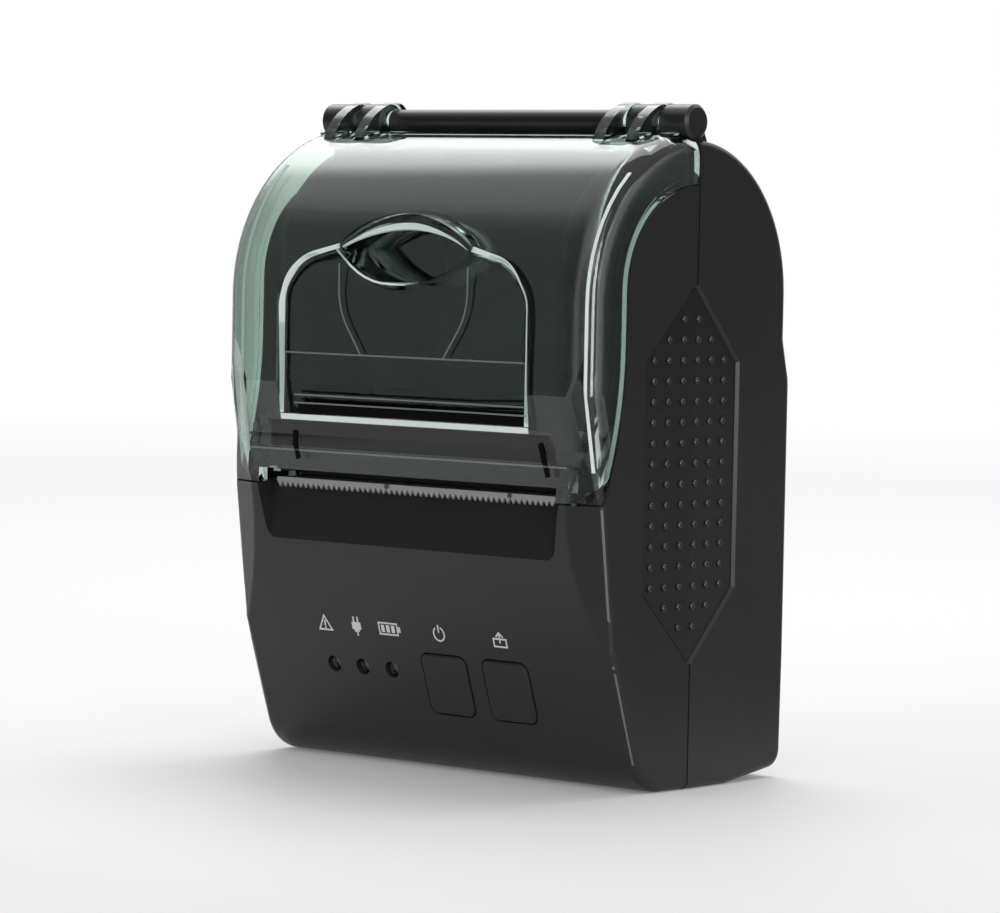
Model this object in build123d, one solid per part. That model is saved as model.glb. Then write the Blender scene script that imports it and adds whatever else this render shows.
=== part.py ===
from build123d import *
import math
import os

# Portable thermal receipt printer that stands on its bottom end.
# X is right, Y is back and Z is up, in millimetres. X = 0 is the middle of the
# width, Y = 0 is the joint between the front and rear case, Z = 0 is the underside.

# Overall form
half_width = 40.0            # side wall from the middle, at the case joint
through = 80.0               # reach of a cutting tool that passes through a whole piece
front_draft = 1.06           # degrees that the sides close towards the front
rear_draft = 2.87            # degrees that the sides close towards the back
wall = 2.0                   # case and lid wall
case_gap = 0.25              # visible gap between the lid and the case
joint_clearance = 0.15       # lid end to the case joint plane

# Front of the case
front_top_y = -23.5
front_top_z = 45.2
panel_tilt = 18.6            # degrees from upright, at the button panel
panel_low_z = 5.38
panel_high_z = 19.4
toe_radius = 7.9             # round under the front
toe_start_y = -5.6
cheek_top_x = half_width - 6.3   # where the side facet meets the top edge
cheek_corner_y = -21.3
cheek_corner_x = half_width - 0.25
cheek_foot_y = -18.0         # where the side facet runs out
cheek_foot_z = 19.5
cheek_foot_x = half_width - 0.4
front_edge_radius = 1.4
cheek_edge_radius = 1.4

# Back of the case
back_y = 25.9
upper_back_y = 24.2
rear_crown_z = 77.7          # axis of the round over the back
rear_step_high_z = rear_crown_z - 7.2
rear_step_low_z = rear_step_high_z - 6.5
rear_foot_y = 11.0           # end of the flat underside
rear_foot_rise = 1.9
rear_foot_radius = 3.0
rear_edge_radius = 1.2

# Hinge
hinge_z = 104.7
barrel_radius = 2.8
rod_radius = 1.9
rod_clearance = 0.05
outer_barrel_x = (half_width - 6.25, half_width - 0.6)
inner_barrel_x = (half_width - 13.0, half_width - 8.85)
hook_width = 2.2
hook_centres = (half_width - 14.25, half_width - 7.55)
hook_radius = 3.05
hook_foot_y = -8.2
barrel_end_radius = 0.5
trough_clearance = 0.35
trough_wall = 1.6

# Lid
lid_round_radius = 27.4
lid_round_y = 2.2
lid_round_z = 76.0
lid_shoulder_z = 62.0
lid_chin_y = -23.6
lid_chin_z = 53.5
lid_bottom_z = 45.5
lid_corner_radius = 4.3
exit_half_width = half_width - 8.0
exit_top_z = lid_bottom_z + 2.3

# Curve in the side view where the lid ends and the case begins
seam_round_radius = 16.6
seam_round_y = 0.3
seam_round_z = 78.3
seam_flank_z = 70.0
seam_lower_radius = 65.2

# Window and finger grip on the lid face
window_half_width = half_width - 14.3
window_bottom_z = 57.0
window_side_z = lid_round_z + 1.0
window_shoulder_x = window_half_width - 3.7
window_shoulder_z = lid_round_z + 5.6
window_shoulder_radius = 6.0
window_depth = 1.1
window_bevel = 1.2
plate_depth = 0.65           # raised plate in the upper part of the window
grip_tip_x = 13.7
grip_tip_z = lid_round_z + 7.7
grip_top_z = lid_round_z + 12.2
grip_low_z = lid_round_z + 2.4
grip_depth = 7.0
grip_wall = 1.4
ledge_z = 66.85
lip_width = 1.2              # stepped edge of the lid along the case
lip_depth = 0.3

# Recess below the tear bar
scoop_top_half = half_width - 7.0
scoop_low_half = half_width - 9.3
scoop_low_z = 36.2
scoop_back_y = -19.2
scoop_corner = 2.5
deck_back_y = -16.3
deck_top_z = 45.8
deck_thickness = 2.0

# Tear bar
tear_half_length = half_width - 10.0
tear_front_y = -21.3
tear_thickness = 0.5
tear_tip_z = 44.7
tooth_pitch = 1.15
tooth_height = 0.9

# Platen roller and its gears
platen_y = -16.5
platen_z = 52.0
roller_radius = 4.0
roller_half_length = half_width - 11.1
shaft_radius = 1.5
bush_radius = 2.5
gear_module = 0.5
platen_teeth = 16
idler_teeth = 26
pinion_teeth = 12
gear_inner_x = half_width - 6.0
gear_width = 2.2
pinion_offset_y = 2.5        # pinion axis behind the idler axis
gear_backlash = 0.06
axle_radius = 1.0
running = 0.05
press_room = 0.01

# Print head
head_contact_angle = 35.0    # degrees behind straight down, round the platen
head_front = 2.5             # ahead of the print line
head_length = 11.0
head_strip_length = 6.5
head_strip_thickness = 0.8
sink_thickness = 2.8
sink_half_length = half_width - 9.4
head_pivot_s = 9.3
head_pivot_d = 2.6
head_pivot_boss = 1.7
head_travel_gap = 0.4

# Mechanism frame
frame_inner_x = half_width - 8.6
frame_thickness = 1.6
frame_foot_z = 30.0
frame_base_thickness = 1.5
frame_back_y = 3.0
frame_front_y = -15.6
frame_top_z = platen_z + 4.5
beam_top_z = platen_z - 9.0
beam_thickness = 1.6
beam_front_y = platen_y + 4.5
beam_back_y = platen_y + 9.5

# Stepper motor
motor_radius = 7.5
motor_length = 12.0
motor_left_x = 0.1 - frame_inner_x

# Paper bay
bay_y = -2.5
bay_z = lid_round_z + 1.0
bay_radius = 21.5
bay_wall = 1.3
bay_half_width = half_width - 10.4
bay_front_y = -19.6
bay_lid_clearance = 1.2
bay_first_angle = -97.0
bay_last_angle = 72.0

# Buttons, lights and board, measured square to the button panel
panel_z = 14.55              # height of the button centres on the outside
button_width = 9.4
button_height = 10.2
button_corner = 1.5
button_gap = 0.25
button_proud = 0.35
button_travel = 0.8
button_flange = 0.8
button_flange_thickness = 0.7
power_x = 3.9
feed_x = 16.9
light_xs = (-20.7, -14.4, -8.0)
light_up = 1.64
light_hole_radius = 1.4
light_pipe_radius = 1.25
light_recess = 0.9
board_depth = 7.0            # board face below the outside of the panel
board_thickness = 1.6
board_half_width = half_width - 8.4
board_low = -8.0
board_high = 12.4
switch_size = 6.0
switch_height = 2.8
plunger_radius = 1.6
plunger_stand = 0.95         # plunger above the switch body, more than the travel
stem_width = 3.4

# Charging socket on the left side
socket_width = 9.0
socket_height = 3.2
socket_length = 6.6
socket_up = -2.0
plug_width = 11.4
plug_height = 6.6

# Battery
battery_half_width = half_width - 10.0
battery_low_z = 9.0
battery_height = 46.0
battery_front_y = 12.8
battery_thickness = 10.4
tray_wall = 1.2
tray_clearance = 0.35
door_half_width = half_width - 8.4
door_low_z = 7.0
door_high_z = 60.6
door_thickness = 2.0
door_gap = 0.25
door_ledge = 1.6             # rim around the door seat
door_pin_radius = 0.8
door_pin_length = 1.6

# Grip pads on both sides
pad_tip_z = (20.1, 79.0)
pad_side_z = (31.5, 67.0)
pad_half_depth = 11.2
pad_recess = 0.5
pad_thickness = 1.0
pad_gap = 0.1
pad_backing = 1.0            # wall left behind and around the recess

# Shadow groove along the case joint
groove_width = 0.3
groove_depth = 0.25

# Screws that close the case from the back
screw_xs = (5.4 - half_width, half_width - 5.4)
screw_zs = (13.0, 62.0)
screw_boss_radius = 2.4
screw_radius = 1.0
screw_head_radius = 1.9
screw_head_height = 1.4
screw_clearance = 0.1
screw_grip_y = -6.0
screw_seat_y = 15.0
peg_sides = 10               # sides of small hidden round pieces


def side_extrude(sketch, half):
    """Extrude a (Y, Z) outline to both sides of the middle."""
    return extrude(Plane.YZ * sketch, amount=half, both=True)


def slab(x0, x1, y0, y1, z0, z1):
    """A block between two corners."""
    middle = ((x0 + x1) / 2, (y0 + y1) / 2, (z0 + z1) / 2)
    return Pos(*middle) * Box(abs(x1 - x0), abs(y1 - y0), abs(z1 - z0))


def x_rod(y, z, radius, x0, x1):
    """A round bar along X."""
    return Pos((x0 + x1) / 2, y, z) * Rot(0, 90, 0) * Cylinder(radius, abs(x1 - x0))


def y_peg(x, z, radius, y0, y1):
    """A many-sided bar along Y, for the small screws and their bosses."""
    start = Plane(origin=(x, y0, z), x_dir=(1, 0, 0), z_dir=(0, 1, 0))
    return extrude(start * RegularPolygon(radius, peg_sides), amount=y1 - y0)


def yz_outline(points):
    """A straight-sided (Y, Z) outline."""
    return make_face(Polyline(*points, close=True))


def on_circle(centre, radius, degrees):
    turn = math.radians(degrees)
    return (centre[0] + radius * math.cos(turn), centre[1] + radius * math.sin(turn))


def both_sides(shape):
    """A shape and its mirror image across the middle."""
    return [shape, mirror(shape, about=Plane.YZ)]


def edges_by(solid, test):
    return [edge for edge in solid.edges() if test(edge.position_at(0.5))]


def single(shape):
    """The one solid that a boolean leaves."""
    solids = shape.solids()
    return solids[0] if len(solids) == 1 else Compound(children=list(solids))


def plan_prism(inset=0.0, y_low=-through, y_high=through):
    """Space between the drafted side walls, seen from above."""
    half = half_width - inset
    front = half + y_low * math.tan(math.radians(front_draft))
    rear = half - y_high * math.tan(math.radians(rear_draft))
    corners = [(-front, y_low), (front, y_low), (half, 0), (rear, y_high), (-rear, y_high), (-half, 0)]
    return extrude(make_face(Polyline(*corners, close=True)), amount=hinge_z * 2)


def half_width_at(y):
    """Outside of the side wall at a depth."""
    draft = front_draft if y < 0 else rear_draft
    return half_width - abs(y) * math.tan(math.radians(draft))


def panel_y(z):
    """Front surface of the sloping button panel."""
    rise = z - panel_low_z
    return panel_foot()[0] - rise * math.tan(math.radians(panel_tilt))


def panel_foot(inset=0.0):
    """Where the toe round meets the sloping panel."""
    tilt = math.radians(panel_tilt)
    radius = toe_radius - inset
    return (toe_start_y - radius * math.cos(tilt), toe_radius - radius * math.sin(tilt))


def front_curve():
    """Centre and radius of the arc from the panel to the top of the front."""
    tilt = math.radians(panel_tilt)
    start = (panel_y(panel_high_z), panel_high_z)
    run = (front_top_y - start[0], front_top_z - start[1])
    chord = math.hypot(*run)
    bend = tilt - math.atan2(-run[0], run[1])
    radius = chord / (2 * math.sin(bend))
    centre = (start[0] + radius * math.cos(tilt), start[1] + radius * math.sin(tilt))
    return centre, radius


def front_y(z, inset=0.0):
    """Front surface above the button panel."""
    centre, radius = front_curve()
    return centre[0] - math.sqrt((radius - inset) ** 2 - (z - centre[1]) ** 2)


def front_outline(top_z, inset=0.0, y_end=0.0, top_y=None):
    """Edges of the front and underside, from the joint plane round to the top."""
    tilt = math.radians(panel_tilt)
    centre, radius = front_curve()
    radius -= inset
    foot = panel_foot(inset)
    panel_end = (centre[0] - radius * math.cos(tilt), centre[1] - radius * math.sin(tilt))
    toe_centre = (toe_start_y, toe_radius)
    toe_mid = on_circle(toe_centre, toe_radius - inset, 180 + (90 + panel_tilt) / 2)
    top = (front_y(top_z, inset), top_z)
    middle_z = (panel_end[1] + top_z) / 2
    edges = Line((y_end, inset), (toe_start_y, inset))
    edges += ThreePointArc((toe_start_y, inset), toe_mid, foot)
    edges += Line(foot, panel_end)
    edges += ThreePointArc(panel_end, (front_y(middle_z, inset), middle_z), top)
    return edges, top


def seam_y(z, offset):
    """Lower part of the seam curve, offset towards the front when positive."""
    centre_y = seam_round_y - seam_round_radius - seam_lower_radius
    radius = seam_lower_radius - offset
    return centre_y + math.sqrt(radius ** 2 - (seam_flank_z - z) ** 2)


def seam_outline(low_z, y_end, offset):
    """Edges of the seam curve from the bottom up to the joint plane."""
    centre = (seam_round_y, seam_round_z)
    radius = seam_round_radius + offset
    flank_y = seam_round_y - radius
    low = (seam_y(low_z, offset), low_z)
    middle_z = (low_z + seam_flank_z) / 2
    top = (y_end, seam_round_z + math.sqrt(radius ** 2 - (y_end - seam_round_y) ** 2))
    edges = ThreePointArc(low, (seam_y(middle_z, offset), middle_z), (flank_y, seam_flank_z))
    edges += Line((flank_y, seam_flank_z), (flank_y, seam_round_z))
    edges += ThreePointArc((flank_y, seam_round_z), on_circle(centre, radius, 135), top)
    return edges, low, top


def cheek_cutters(inset=0.0):
    """Material in front of the two side facets."""
    corner = Vector(cheek_corner_x, cheek_corner_y, front_top_z)
    foot = Vector(cheek_foot_x, cheek_foot_y, cheek_foot_z)
    inner = Vector(cheek_top_x, front_top_y, front_top_z)
    out = (foot - corner).cross(inner - corner).normalized()
    if out.Y > 0:
        out = -out
    facet = Plane(origin=corner - out * inset, x_dir=(foot - corner).normalized(), z_dir=out)
    cutter = extrude(facet * Rectangle(3 * through, 3 * through), amount=through)
    return both_sides(cutter)


def lid_outline(inset=0.0, y_end=-joint_clearance, low_z=lid_bottom_z):
    """Edges of the lid's outside from the hinge down to the bottom of the chin."""
    centre = (lid_round_y, lid_round_z)
    radius = lid_round_radius - inset
    top = (y_end, lid_round_z + math.sqrt(radius ** 2 - (y_end - lid_round_y) ** 2))
    face_y = lid_round_y - radius
    chin = (lid_chin_y + inset, lid_chin_z)
    foot = (front_top_y + inset, low_z)
    edges = ThreePointArc(top, on_circle(centre, radius, 135), (face_y, lid_round_z))
    edges += Line((face_y, lid_round_z), (face_y, lid_shoulder_z))
    edges += Line((face_y, lid_shoulder_z), chin)
    edges += Line(chin, foot)
    return edges, top, foot


def panel_plane(up=0.0, depth=0.0, x=0.0):
    """Plane on the button panel: X across, Y up the slope, Z out of the case."""
    tilt = math.radians(panel_tilt)
    out = Vector(0, -math.cos(tilt), -math.sin(tilt))
    slope = Vector(0, -math.sin(tilt), math.cos(tilt))
    origin = Vector(x, panel_y(panel_z), panel_z) + slope * up - out * depth
    return Plane(origin=origin, x_dir=(1, 0, 0), z_dir=out)


def panel_block(x, up, width, height, depth0, depth1, corner=0.0):
    """A block square to the button panel, between two depths below its face."""
    outline = RectangleRounded(width, height, corner) if corner else Rectangle(width, height)
    return extrude(panel_plane(up, depth1, x) * outline, amount=depth1 - depth0)


def panel_peg(x, up, radius, depth0, depth1, sides=0):
    """A bar square to the button panel: round, or many-sided where it is hidden."""
    outline = RegularPolygon(radius, sides) if sides else Circle(radius)
    return extrude(panel_plane(up, depth1, x) * outline, amount=depth1 - depth0)


def head_point(along, depth):
    """A (Y, Z) point from the print line: along the head, and away from the roller."""
    angle = math.radians(head_contact_angle)
    contact_y = platen_y + roller_radius * math.sin(angle)
    contact_z = platen_z - roller_radius * math.cos(angle)
    y = contact_y + along * math.cos(angle) + depth * math.sin(angle)
    z = contact_z + along * math.sin(angle) - depth * math.cos(angle)
    return (y, z)


def gear_distance(first, second):
    return gear_module * (first + second) / 2


def platen_leaving():
    """Unit (Y, Z) direction in which the platen leaves when the lid opens."""
    radius = math.hypot(platen_y, hinge_z - platen_z)
    return (-(hinge_z - platen_z) / radius, -platen_y / radius)


def idler_centre():
    """The idler lies straight behind the platen gear's way out."""
    leave = platen_leaving()
    distance = gear_distance(platen_teeth, idler_teeth)
    return (platen_y - leave[0] * distance, platen_z - leave[1] * distance)


def pinion_centre():
    idler = idler_centre()
    distance = gear_distance(idler_teeth, pinion_teeth)
    drop = math.sqrt(distance ** 2 - pinion_offset_y ** 2)
    return (idler[0] + pinion_offset_y, idler[1] - drop)


def gear_sketch(teeth, phase, bore):
    """Spur gear outline with straight-flanked teeth; phase turns one tooth to an angle."""
    pitch_radius = gear_module * teeth / 2
    root = pitch_radius - 1.2 * gear_module
    tip = pitch_radius + 0.9 * gear_module
    pitch_half = 90.0 / teeth - math.degrees(gear_backlash / pitch_radius)
    root_half = pitch_half * 1.55
    tip_half = pitch_half * 0.45
    points = []
    for tooth in range(teeth):
        angle = phase + 360.0 * tooth / teeth
        points.append(on_circle((0, 0), root, angle - root_half))
        points.append(on_circle((0, 0), tip, angle - tip_half))
        points.append(on_circle((0, 0), tip, angle + tip_half))
        points.append(on_circle((0, 0), root, angle + root_half))
    return make_face(Polyline(*points, close=True)) - Circle(bore)


def gear_solid(centre, teeth, phase, bore):
    outline = Pos(*centre) * gear_sketch(teeth, phase, bore)
    start = Plane(origin=(-gear_inner_x - gear_width, 0, 0), x_dir=(0, 1, 0), z_dir=(1, 0, 0))
    return extrude(start * outline, amount=gear_width)


def direction(start, end):
    """Angle in degrees from one (Y, Z) point to another."""
    return math.degrees(math.atan2(end[1] - start[1], end[0] - start[0]))


def pad_outline(grow=0.0):
    """Six-sided (Y, Z) outline of the side grip."""
    low, high = pad_tip_z
    side_low, side_high = pad_side_z
    half = pad_half_depth + grow
    points = [(0, low - grow), (half, side_low), (half, side_high)]
    points += [(0, high + grow), (-half, side_high), (-half, side_low)]
    return make_face(Polyline(*points, close=True))


def pad_pocket(grow, depth_outer, depth_inner):
    """Prism of the grip outline between two depths below both side walls."""
    tall = side_extrude(pad_outline(grow), half_width + 5)
    shell = plan_prism(depth_outer) - plan_prism(depth_inner)
    return [solid for solid in (tall & shell).solids()]


def seat_grip_pads(case):
    """Cut the pad recesses and thicken the wall behind them."""
    seat = pad_recess + pad_thickness
    for backing in pad_pocket(pad_backing, wall / 2, seat + pad_backing):
        case += backing
    for pocket in pad_pocket(pad_gap, -5, seat):
        case -= pocket

    def pocket_rim(p):
        on_wall = abs(abs(p.X) - half_width_at(p.Y)) < 0.01
        across = 0.01 < abs(p.Y) < pad_half_depth + 2 * pad_gap
        return on_wall and across and pad_tip_z[0] - 1 < p.Z < pad_tip_z[1] + 1

    return chamfer(edges_by(case, pocket_rim), pad_recess - 0.02)


# Lid

def window_sketch(grow=0.0):
    """(X, Z) outline of the window recess: straight sides, sloping shoulders."""
    half = window_half_width + grow
    bottom = window_bottom_z - grow
    right = Line((0, bottom), (half, bottom)) + FilletPolyline(
        (half, bottom), (half, window_side_z), (window_shoulder_x + grow, window_shoulder_z + grow),
        (grip_tip_x, grip_tip_z + grow), radius=window_shoulder_radius,
    )
    left = mirror(right, about=Plane.YZ)
    top = Line((-grip_tip_x, grip_tip_z + grow), (grip_tip_x, grip_tip_z + grow))
    return make_face(right + left + top)


def grip_sketch(low_z, grow=0.0):
    """(X, Z) lens of the finger grip between its upper and lower arcs."""
    tip = grip_tip_x + grow
    upper = ThreePointArc((-tip, grip_tip_z), (0, grip_top_z + grow), (tip, grip_tip_z))
    lower = ThreePointArc((tip, grip_tip_z), (0, low_z - grow), (-tip, grip_tip_z))
    return make_face(upper + lower)


def front_extrude(sketch, y0, y1):
    """Extrude an (X, Z) outline from y0 back to y1."""
    start = Plane(origin=(0, y1, 0), x_dir=(1, 0, 0), z_dir=(0, -1, 0))
    return extrude(start * sketch, amount=y1 - y0)


def hook_sketch():
    """(Y, Z) outline of a lid hook that rises from the lid and goes over the rod."""
    axis = (0, hinge_z)
    crown = on_circle(axis, hook_radius, 109)
    foot_z = lid_round_z + math.sqrt(lid_round_radius ** 2 - (hook_foot_y - lid_round_y) ** 2)
    foot = (hook_foot_y, foot_z - 0.3)
    sweep = (hook_foot_y * 0.72, foot_z + (crown[1] - foot_z) * 0.57)
    below = on_circle(axis, hook_radius, 250)
    edges = ThreePointArc(foot, sweep, crown)
    edges += ThreePointArc(crown, on_circle(axis, hook_radius, 0), below)
    edges += Line(below, (hook_foot_y * 0.5, foot_z - wall))
    edges += Line((hook_foot_y * 0.5, foot_z - wall), foot)
    return make_face(edges)


def make_lid():
    outer, top, foot = lid_outline()
    seam, low, seam_top = seam_outline(lid_bottom_z, -joint_clearance, case_gap / 2)
    outline = make_face(outer + Line(foot, low) + seam + Line(seam_top, top))
    block = side_extrude(outline, half_width + 5) & plan_prism()

    def outer_corner(p):
        from_middle = math.hypot(p.Y - lid_round_y, p.Z - lid_round_z)
        on_crown = p.Z > lid_round_z and from_middle > lid_round_radius - 0.5
        return abs(p.X) > half_width - 2 and (on_crown or p.Y < front_top_y + 0.3)

    block = fillet(edges_by(block, outer_corner), lid_corner_radius)
    for cutter in cheek_cutters():
        block -= cutter

    inner, inner_top, inner_foot = lid_outline(wall, 5.0, 30.0)
    back = [(5.0, 30.0)]
    hollow = make_face(inner + Line(inner_foot, back[0]) + Line(back[0], inner_top))
    hollow = side_extrude(hollow, half_width + 5) & plan_prism(wall)
    for cutter in cheek_cutters(wall):
        hollow -= cutter
    lid = block - hollow

    edge, edge_low, edge_top = seam_outline(lid_bottom_z, -joint_clearance, lip_width + case_gap / 2)
    behind = [(through, edge_low[1]), (through, edge_top[1])]
    lip = edge + Line(edge_top, behind[1]) + Line(behind[1], behind[0]) + Line(behind[0], edge_low)
    lid -= side_extrude(make_face(lip), through) - plan_prism(lip_depth)

    trough_inner = barrel_radius + trough_clearance
    trough_outer = trough_inner + trough_wall
    inside = half_width - wall
    sleeve = x_rod(0, hinge_z, trough_outer, -inside, inside)
    keep = side_extrude(outline, half_width + 5) & plan_prism(wall / 2)
    lid += sleeve & keep
    lid -= x_rod(0, hinge_z, trough_inner, -half_width - 2, half_width + 2)

    opening = slab(-exit_half_width, exit_half_width, front_top_y - 3, front_top_y + 8, 40, exit_top_z)
    lid -= opening

    face_y = lid_round_y - lid_round_radius
    inward = Plane(origin=(0, face_y, 0), x_dir=(-1, 0, 0), z_dir=(0, 1, 0))
    slope = math.degrees(math.atan(window_bevel / window_depth))
    lid -= extrude(inward * window_sketch(window_bevel), amount=window_depth, taper=slope)
    upper = Pos(0, ledge_z + through / 2) * Rectangle(through, through)
    lid += front_extrude(window_sketch() & upper, face_y + plate_depth, face_y + wall)

    pocket_back = face_y + grip_depth
    cup = front_extrude(grip_sketch(grip_low_z, grip_wall), face_y + wall / 2, pocket_back + grip_wall)
    lid += cup
    lid -= front_extrude(grip_sketch(grip_low_z), face_y - 5, pocket_back)

    hooks = side_extrude(hook_sketch(), hook_width / 2)
    for centre in hook_centres:
        for side in (-1, 1):
            lid += Pos(side * centre, 0, 0) * hooks
    lid -= x_rod(0, hinge_z, rod_radius + rod_clearance, -half_width, half_width)
    return single(lid)


# Front case

def scoop_tool():
    """Space of the slanting recess below the tear bar."""
    depth = yz_outline([
        (-40, scoop_low_z - 3), (front_y(scoop_low_z) - 0.6, scoop_low_z - 1.6),
        (scoop_back_y, deck_top_z), (scoop_back_y, deck_top_z + 5), (-40, deck_top_z + 5),
    ])
    low = scoop_low_half
    high = scoop_top_half
    face = make_face(Polyline(
        (-low, scoop_low_z), (low, scoop_low_z), (high, front_top_z + 3), (-high, front_top_z + 3),
        close=True,
    ))
    corners = face.vertices().sort_by(Axis.Y)[:2]
    face = fillet(corners, scoop_corner)
    return side_extrude(depth, half_width) & front_extrude(face, -40, -10)


def button_positions():
    return (("power", power_x), ("feed", feed_x))


def make_front_case():
    seam, low, seam_top = seam_outline(front_top_z, 0.0, -case_gap / 2)
    shape, top = front_outline(front_top_z)
    outline = make_face(shape + Line(top, low) + seam + Line(seam_top, (0, 0)))
    block = side_extrude(outline, half_width + 5) & plan_prism()

    def long_edge(p):
        return abs(p.X) > half_width_at(p.Y) - 0.5 and p.Y < -0.5 and p.Z < front_top_z - 1

    block = fillet(edges_by(block, long_edge), front_edge_radius)
    for cutter in cheek_cutters():
        block -= cutter

    def cheek_edge(p):
        inner = abs(p.X) < cheek_corner_x - 2 and p.Y < cheek_foot_y
        outer = abs(p.X) > cheek_corner_x - 0.5 and p.Y < cheek_foot_y - 1
        beside = abs(p.X) > cheek_top_x - 2
        return beside and (inner or outer) and panel_high_z + 8 < p.Z < front_top_z - 1

    block = fillet(edges_by(block, cheek_edge), cheek_edge_radius)

    inner, inner_top = front_outline(front_top_z, wall, 3.0)
    high = (inner_top[0], hinge_z)
    corner = (3.0, hinge_z)
    closing = Line(inner_top, high) + Line(high, corner) + Line(corner, (3.0, wall))
    hollow = side_extrude(make_face(inner + closing), half_width + 5) & plan_prism(wall)
    for cutter in cheek_cutters(wall):
        hollow -= cutter
    case = block - hollow

    pan = yz_outline([
        (front_y(scoop_low_z - 3.2) + 0.6, scoop_low_z - 3.2),
        (front_y(scoop_low_z) + 2.6, scoop_low_z - 2.4),
        (deck_back_y, deck_top_z - deck_thickness), (deck_back_y, deck_top_z),
        (scoop_back_y - 1.0, deck_top_z),
        (front_y(front_top_z) + wall / 2, front_top_z),
    ])
    case += side_extrude(pan, scoop_top_half + wall)
    case -= scoop_tool()

    for _, x in button_positions():
        hole_width = button_width + 2 * button_gap
        hole_height = button_height + 2 * button_gap
        case -= panel_block(x, 0, hole_width, hole_height, -3, wall + 1, button_corner + button_gap)
    for x in light_xs:
        case -= panel_peg(x, light_up, light_hole_radius, -3, wall + 1)
    for x, up in board_fixings():
        case += panel_peg(x, up, 2.2, wall / 2, board_depth, peg_sides)
        case -= panel_peg(x, up, 0.9, 2.4, board_depth + 1, peg_sides)

    case -= socket_cutter()
    shelf_y = (frame_front_y + 5, frame_back_y - 4)
    for shelf in both_sides(slab(
        frame_inner_x + frame_thickness - 2.5, half_width - 1.0, shelf_y[0], shelf_y[1] - 1,
        frame_foot_z - 3, frame_foot_z,
    )):
        case += shelf & plan_prism(wall / 2)
    for x in screw_xs:
        for z in screw_zs:
            case += y_peg(x, z, screw_boss_radius, screw_grip_y - 1.5, 0) & plan_prism(wall / 2)
            case += boss_web(x, z, screw_grip_y - 1.5, 0)
            case -= y_peg(x, z, screw_radius + screw_clearance, screw_grip_y - 0.5, 3)
    case -= slab(-through, through, 0, through, -through, 3 * through)
    case = seat_grip_pads(case)
    case -= slab(-through, through, 0, through, -through, 3 * through)
    return single(case)


def boss_web(x, z, y0, y1):
    """Rib from a screw boss to the side wall."""
    side = 1 if x > 0 else -1
    rib = slab(x, side * (half_width - wall / 2), y0, y1, z - 0.8, z + 0.8)
    return rib & plan_prism(wall / 2)


def board_fixings():
    """Screw places of the main board, across and up the panel."""
    side = board_half_width - 3.6
    return ((-side, 9.4), (side, 9.4), (4 - side, -5.4), (side, -5.4))


def socket_cutter():
    """Opening in the left wall for the charging plug."""
    depth = board_depth - socket_height / 2
    low = depth - plug_height / 2
    return panel_block(-half_width, socket_up, 12, plug_width, low, low + plug_height)


# Rear case

def rear_outline(inset=0.0, y_end=0.0):
    """Edges of the underside, back and crown, from the joint plane round to the top."""
    radius = upper_back_y - inset
    crown = (0.0, rear_crown_z)
    top = (y_end, rear_crown_z + math.sqrt(radius ** 2 - y_end ** 2))
    points = [
        (y_end, inset), (rear_foot_y, inset), (back_y - 0.3 - inset, rear_foot_rise + inset),
        (back_y - inset, 20.0), (back_y - inset, rear_step_low_z),
        (upper_back_y - inset, rear_step_high_z), (upper_back_y - inset, rear_crown_z),
    ]
    foot_radius = max(rear_foot_radius - inset, 0.8)
    radii = [4.0, foot_radius, 20.0, 6.0, 6.0]
    edges = FilletPolyline(*points, radius=radii)
    edges += ThreePointArc(points[-1], on_circle(crown, radius, 45), top)
    return edges, top


def make_rear_case():
    shape, top = rear_outline()
    outline = make_face(shape + Line(top, (0, 0)))
    block = side_extrude(outline, half_width + 5) & plan_prism()

    def long_edge(p):
        return abs(p.X) > half_width_at(p.Y) - 0.5 and p.Y > 0.5 and p.Z > 0.5

    block = fillet(edges_by(block, long_edge), rear_edge_radius)
    inner, inner_top = rear_outline(wall, -3.0)
    hollow = make_face(inner + Line(inner_top, (-3.0, wall)))
    hollow = side_extrude(hollow, half_width + 5) & plan_prism(wall)
    case = block - hollow

    case -= x_rod(0, hinge_z, barrel_radius + trough_clearance + 0.15, -half_width - 2, half_width + 2)
    web = yz_outline([
        (0.3, upper_back_y + rear_crown_z - wall), (0.3, hinge_z - barrel_radius * 0.8),
        (barrel_radius * 0.9, hinge_z - 0.3), (5.0, upper_back_y + rear_crown_z - wall - 0.6),
    ])
    for span, inset in ((outer_barrel_x, 1.2), (inner_barrel_x, 0.0)):
        width = span[1] - span[0]
        middle = (span[0] + span[1]) / 2
        barrel = x_rod(0, hinge_z, barrel_radius, 0, width)
        ends = [edge for edge in barrel.edges() if edge.geom_type == GeomType.CIRCLE]
        end = max(ends, key=lambda edge: edge.center().X)
        if inset:
            barrel = chamfer(end, barrel_end_radius)
        knuckle = Pos(span[0], 0, 0) * barrel
        foot = Pos(middle - inset / 2, 0, 0) * side_extrude(web, (width - inset) / 2)
        for side in both_sides(knuckle + foot):
            case += side
    case -= x_rod(0, hinge_z, rod_radius + rod_clearance, -half_width, outer_barrel_x[1] - 1.4)

    case += battery_tray() & plan_prism(wall / 2)
    case -= battery_way()
    case -= door_cutter()
    for x in screw_xs:
        for z in screw_zs:
            case += y_peg(x, z, screw_boss_radius, 0, back_y - wall / 2) & plan_prism(wall / 2)
            case += boss_web(x, z, 0, back_y - wall / 2)
            case -= y_peg(x, z, screw_radius + screw_clearance, -1, screw_seat_y)
            case -= y_peg(x, z, screw_head_radius + screw_clearance, screw_seat_y, back_y + 3)
    case -= slab(-through, through, 0, groove_width, -through, 3 * through) - plan_prism(groove_depth)
    case = seat_grip_pads(case)
    case -= slab(-through, through, -through, 0, -through, hinge_z - barrel_radius - trough_clearance)
    return single(case)


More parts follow.
